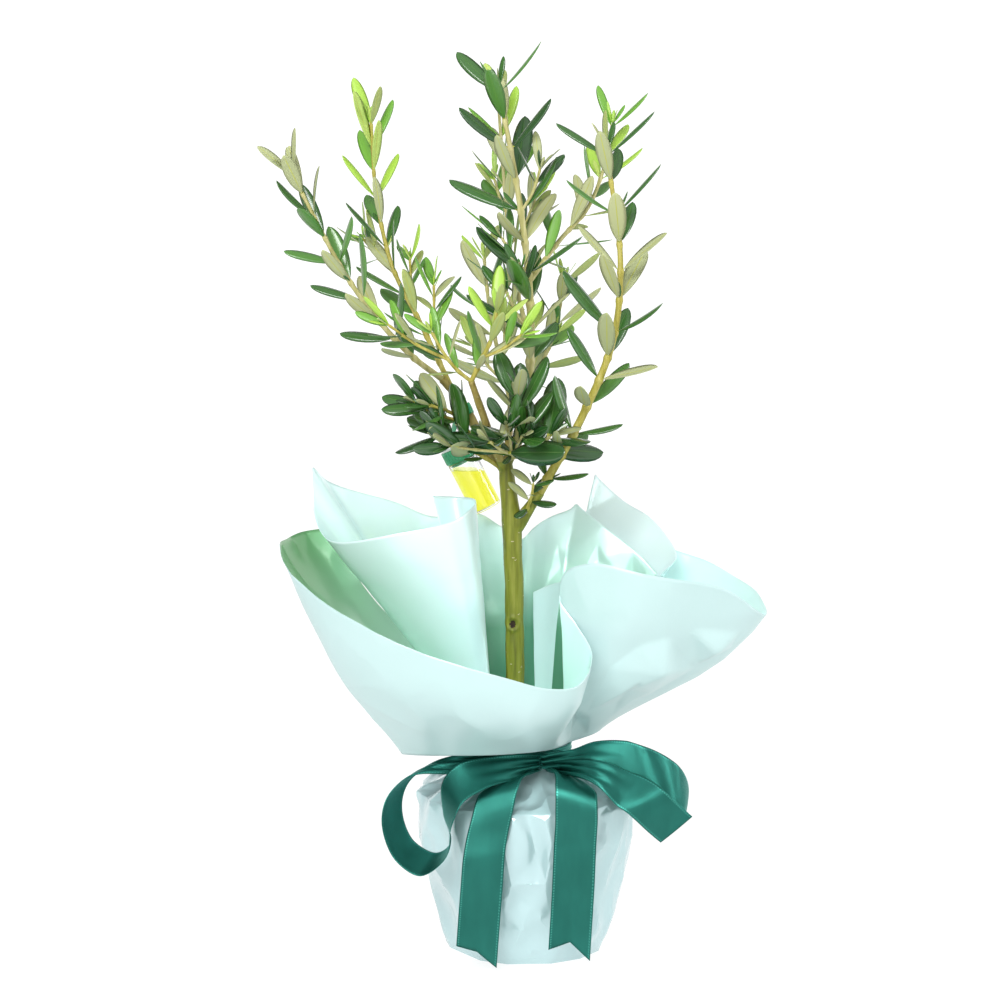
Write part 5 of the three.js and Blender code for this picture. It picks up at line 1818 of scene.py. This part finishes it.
def make_cap(plug):
    """Screw cap with grip ribs and a plug inside the tube."""
    out, top = VIAL_RADIUS + CAP_OUT, VIAL_LENGTH + VIAL_CAP_HEIGHT
    low, foot = VIAL_LENGTH + FIT, VIAL_LENGTH - CAP_PLUG

    def ribs(angle, radius, height):
        on_wall = radius > out - CAP_RIB["wall"] and low + CAP_RIB["low"] < height < top - CAP_RIB["high"]
        return -CAP_RIB_DEPTH * (np.cos(CAP_RIBS * angle) > CAP_RIB["gap"]) * on_wall

    profile = [(NEAR_AXIS, foot), (plug, foot), (plug, low), (out, low), (out, top), (NEAR_AXIS, top)]
    profile = rounded(profile, CAP_BEVEL)
    wall = [k for k, (radius, height) in enumerate(profile) if radius > out - NEAR]
    start, end = profile[wall[0]][1], profile[wall[-1]][1]
    extra = [(out, start + share * (end - start)) for share in CAP_RIB["rows"]]
    profile = profile[:wall[0] + 1] + extra + profile[wall[-1]:]
    vertices, faces = turned(profile, ROUND * 3, ribs)
    green = grained_material("cap_green", "cap", **CAP_LOOK)
    make_piece("vial_lid", in_vial(vertices), faces, [green], ["vial_cap"])
    make_tie(green)


def make_tie(green):
    """Loop of thin green band from the cap's top round the left bough, widest over the bough."""
    bough = LIMBS["bough_left"]
    along = Path(bough["path"]).along(TIE_PLACE)
    lift = TIE_RADIUS + FIT
    foot = in_vial([(0, 0, VIAL_LENGTH + VIAL_CAP_HEIGHT + lift)])[0]
    around = np.asarray(TIE_ROUND)
    aside = unit(np.cross(along, unit(around - foot)))
    over = unit(np.cross(aside, along))
    clear = max(bough["radii"]) + lift
    points = [foot - aside * clear / 2, foot + aside * clear / 2, around + aside * clear,
              around + over * clear, around - aside * clear]
    loop = Path(points, closed=True)
    steps, sides = TIE_BAND["steps"], TIE_BAND["sides"]
    shares = np.arange(steps) / steps
    way = loop.along(shares)
    way[0] = unit(loop.at(1 / steps) - loop.at(1 - 1 / steps))
    across = unit(np.cross(way, along))
    point = loop.at(shares)
    high = smooth_step((point @ over - foot @ over) / ((around - foot) @ over + clear))
    wide = TIE_BAND["half_width_low"] + (TIE_BAND["half_width_high"] - TIE_BAND["half_width_low"]) * high
    angle = full_turn(sides)
    grid = point[:, None] + across[:, None] * (TIE_BAND["half_thick"] * np.cos(angle))[None, :, None]
    grid = grid + along * (wide[:, None] * np.sin(angle)[None, :])[..., None]
    make_piece("vial_band", grid.reshape(-1, 3), loop_faces(steps, sides), [green], ["vial_tie"])


# Pot and soil


def make_pot():
    def wall(height):
        return POT_BASE_RADIUS + (POT_RIM_RADIUS - POT_BASE_RADIUS) * height / POT_HEIGHT

    lip = POT_HEIGHT - POT_LIP_HEIGHT
    profile = [(NEAR_AXIS, 0), (wall(0), 0), (wall(lip), lip), (wall(lip) + POT_LIP_OUT, lip),
               (POT_RIM_RADIUS + POT_LIP_OUT, POT_HEIGHT), (POT_RIM_RADIUS - POT_WALL, POT_HEIGHT),
               (POT_BASE_RADIUS - POT_WALL, POT_WALL), (NEAR_AXIS, POT_WALL)]
    vertices, faces = turned(rounded(profile, POT_BEVEL), ROUND * 2)
    vertices[:, 2] += POT_FLOOR
    make_piece("pot_body", vertices, faces, [speckled_material("pot_moulded")], ["pot"])


def make_soil():
    """Compost with a crumbly top."""
    profile = [(NEAR_AXIS, SOIL_FOOT), (SOIL_FOOT_RADIUS - SOIL_EDGE, SOIL_FOOT),
               (SOIL_FOOT_RADIUS, SOIL_FOOT + SOIL_EDGE)]
    profile += [(radius, SOIL_TOP) for radius in np.linspace(SOIL_RADIUS, SOIL_MIDDLE, SOIL_RINGS)]
    vertices, faces = turned(profile, ROUND * 3)
    top = vertices[:, 2] > SOIL_TOP - NEAR
    free = top & (np.hypot(vertices[:, 0], vertices[:, 1]) < SOIL_RADIUS - SOIL_EDGE)
    crumbs = sum(np.abs(relief(vertices, row)) for row in SOIL_CRUMBS.values())
    vertices[free, 2] += (SOIL_RISE * crumbs - SOIL_SINK)[free]
    make_piece("soil_compost", vertices, faces, [speckled_material("soil_compost")], ["soil"])


# Studio


def make_camera():
    data = bpy.data.cameras.new("camera")
    data.lens = CAMERA_LENS
    data.sensor_width = CAMERA_SENSOR
    camera = new_object("camera", data)
    camera.location = Vector(CAMERA_PLACE) * MM
    camera.rotation_euler = (math.radians(90 - CAMERA_DOWN), 0, 0)
    bpy.context.scene.camera = camera


def make_light(name, place, size, power):
    data = bpy.data.lights.new(name, "AREA")
    data.energy = power
    data.shape = "RECTANGLE"
    data.size, data.size_y = (side * MM for side in size)
    light = new_object(name, data)
    light.location = Vector(place) * MM
    aim = (Vector(LIGHT_TARGET) - Vector(place)).to_track_quat("-Z", "Y")
    light.rotation_euler = aim.to_euler()


def make_stage(name, corners, white):
    """One plain white sheet of the studio."""
    mesh = new_mesh(name, corners, [(0, 1, 2, 3)])
    mesh.materials.append(white)
    sheet = new_object(name, mesh)


def make_set():
    """White floor and back wall that glow, so that they stay white in the picture."""
    half, back, top = FLOOR_SIZE / 2, WALL_BACK, WALL_HEIGHT
    floor = [(-half, -half, 0), (half, -half, 0), (half, back, 0), (-half, back, 0)]
    wall = [(-half, back, 0), (half, back, 0), (half, back, top), (-half, back, top)]
    make_stage("floor", floor, new_material("floor_white", **FLOOR_LOOK))
    make_stage("wall", wall, new_material("wall_white", **WALL_LOOK))


def make_studio():
    """White sky that is dimmer away from the light, three lamps, and the set."""
    world = bpy.data.worlds.new("studio")
    world.use_nodes = True
    sky = world.node_tree.nodes["Background"]
    sky.inputs["Color"].default_value = WHITE
    way = add_node(world, "ShaderNodeTexCoord")
    turned_to = add_node(world, "ShaderNodeVectorMath", operation="DOT_PRODUCT")
    turned_to.inputs[1].default_value = WORLD_WAY
    link(world, way.outputs["Generated"], turned_to.inputs[0])
    fade = add_node(world, "ShaderNodeMapRange")
    for socket, value in zip(fade.inputs[1:5], (*WORLD_FADE, WORLD_DIM, WORLD_BRIGHT)):
        socket.default_value = value
    link(world, turned_to.outputs["Value"], fade.inputs["Value"])
    link(world, fade.outputs["Result"], sky.inputs["Strength"])
    bpy.context.scene.world = world
    bpy.context.scene.view_settings.view_transform = "Standard"
    for name, light in LIGHTS.items():
        make_light(name, **light)
    make_set()


# Assembly

make_camera()
make_studio()
films = {name: film_material(f"film_{name}", **look) for name, look in FILM_LOOKS.items()}
films.update({name: painted_shade_film_material(f"film_{name}", **grade) for name, grade in FILM_PAINTED_SHADES.items()})
make_wrap(films)
make_collar(films)
satin = ribbon_material()
make_runs(satin)
make_knot(satin)
make_band(satin)
make_pot()
make_soil()
make_bark()
make_foliage()
make_vial()
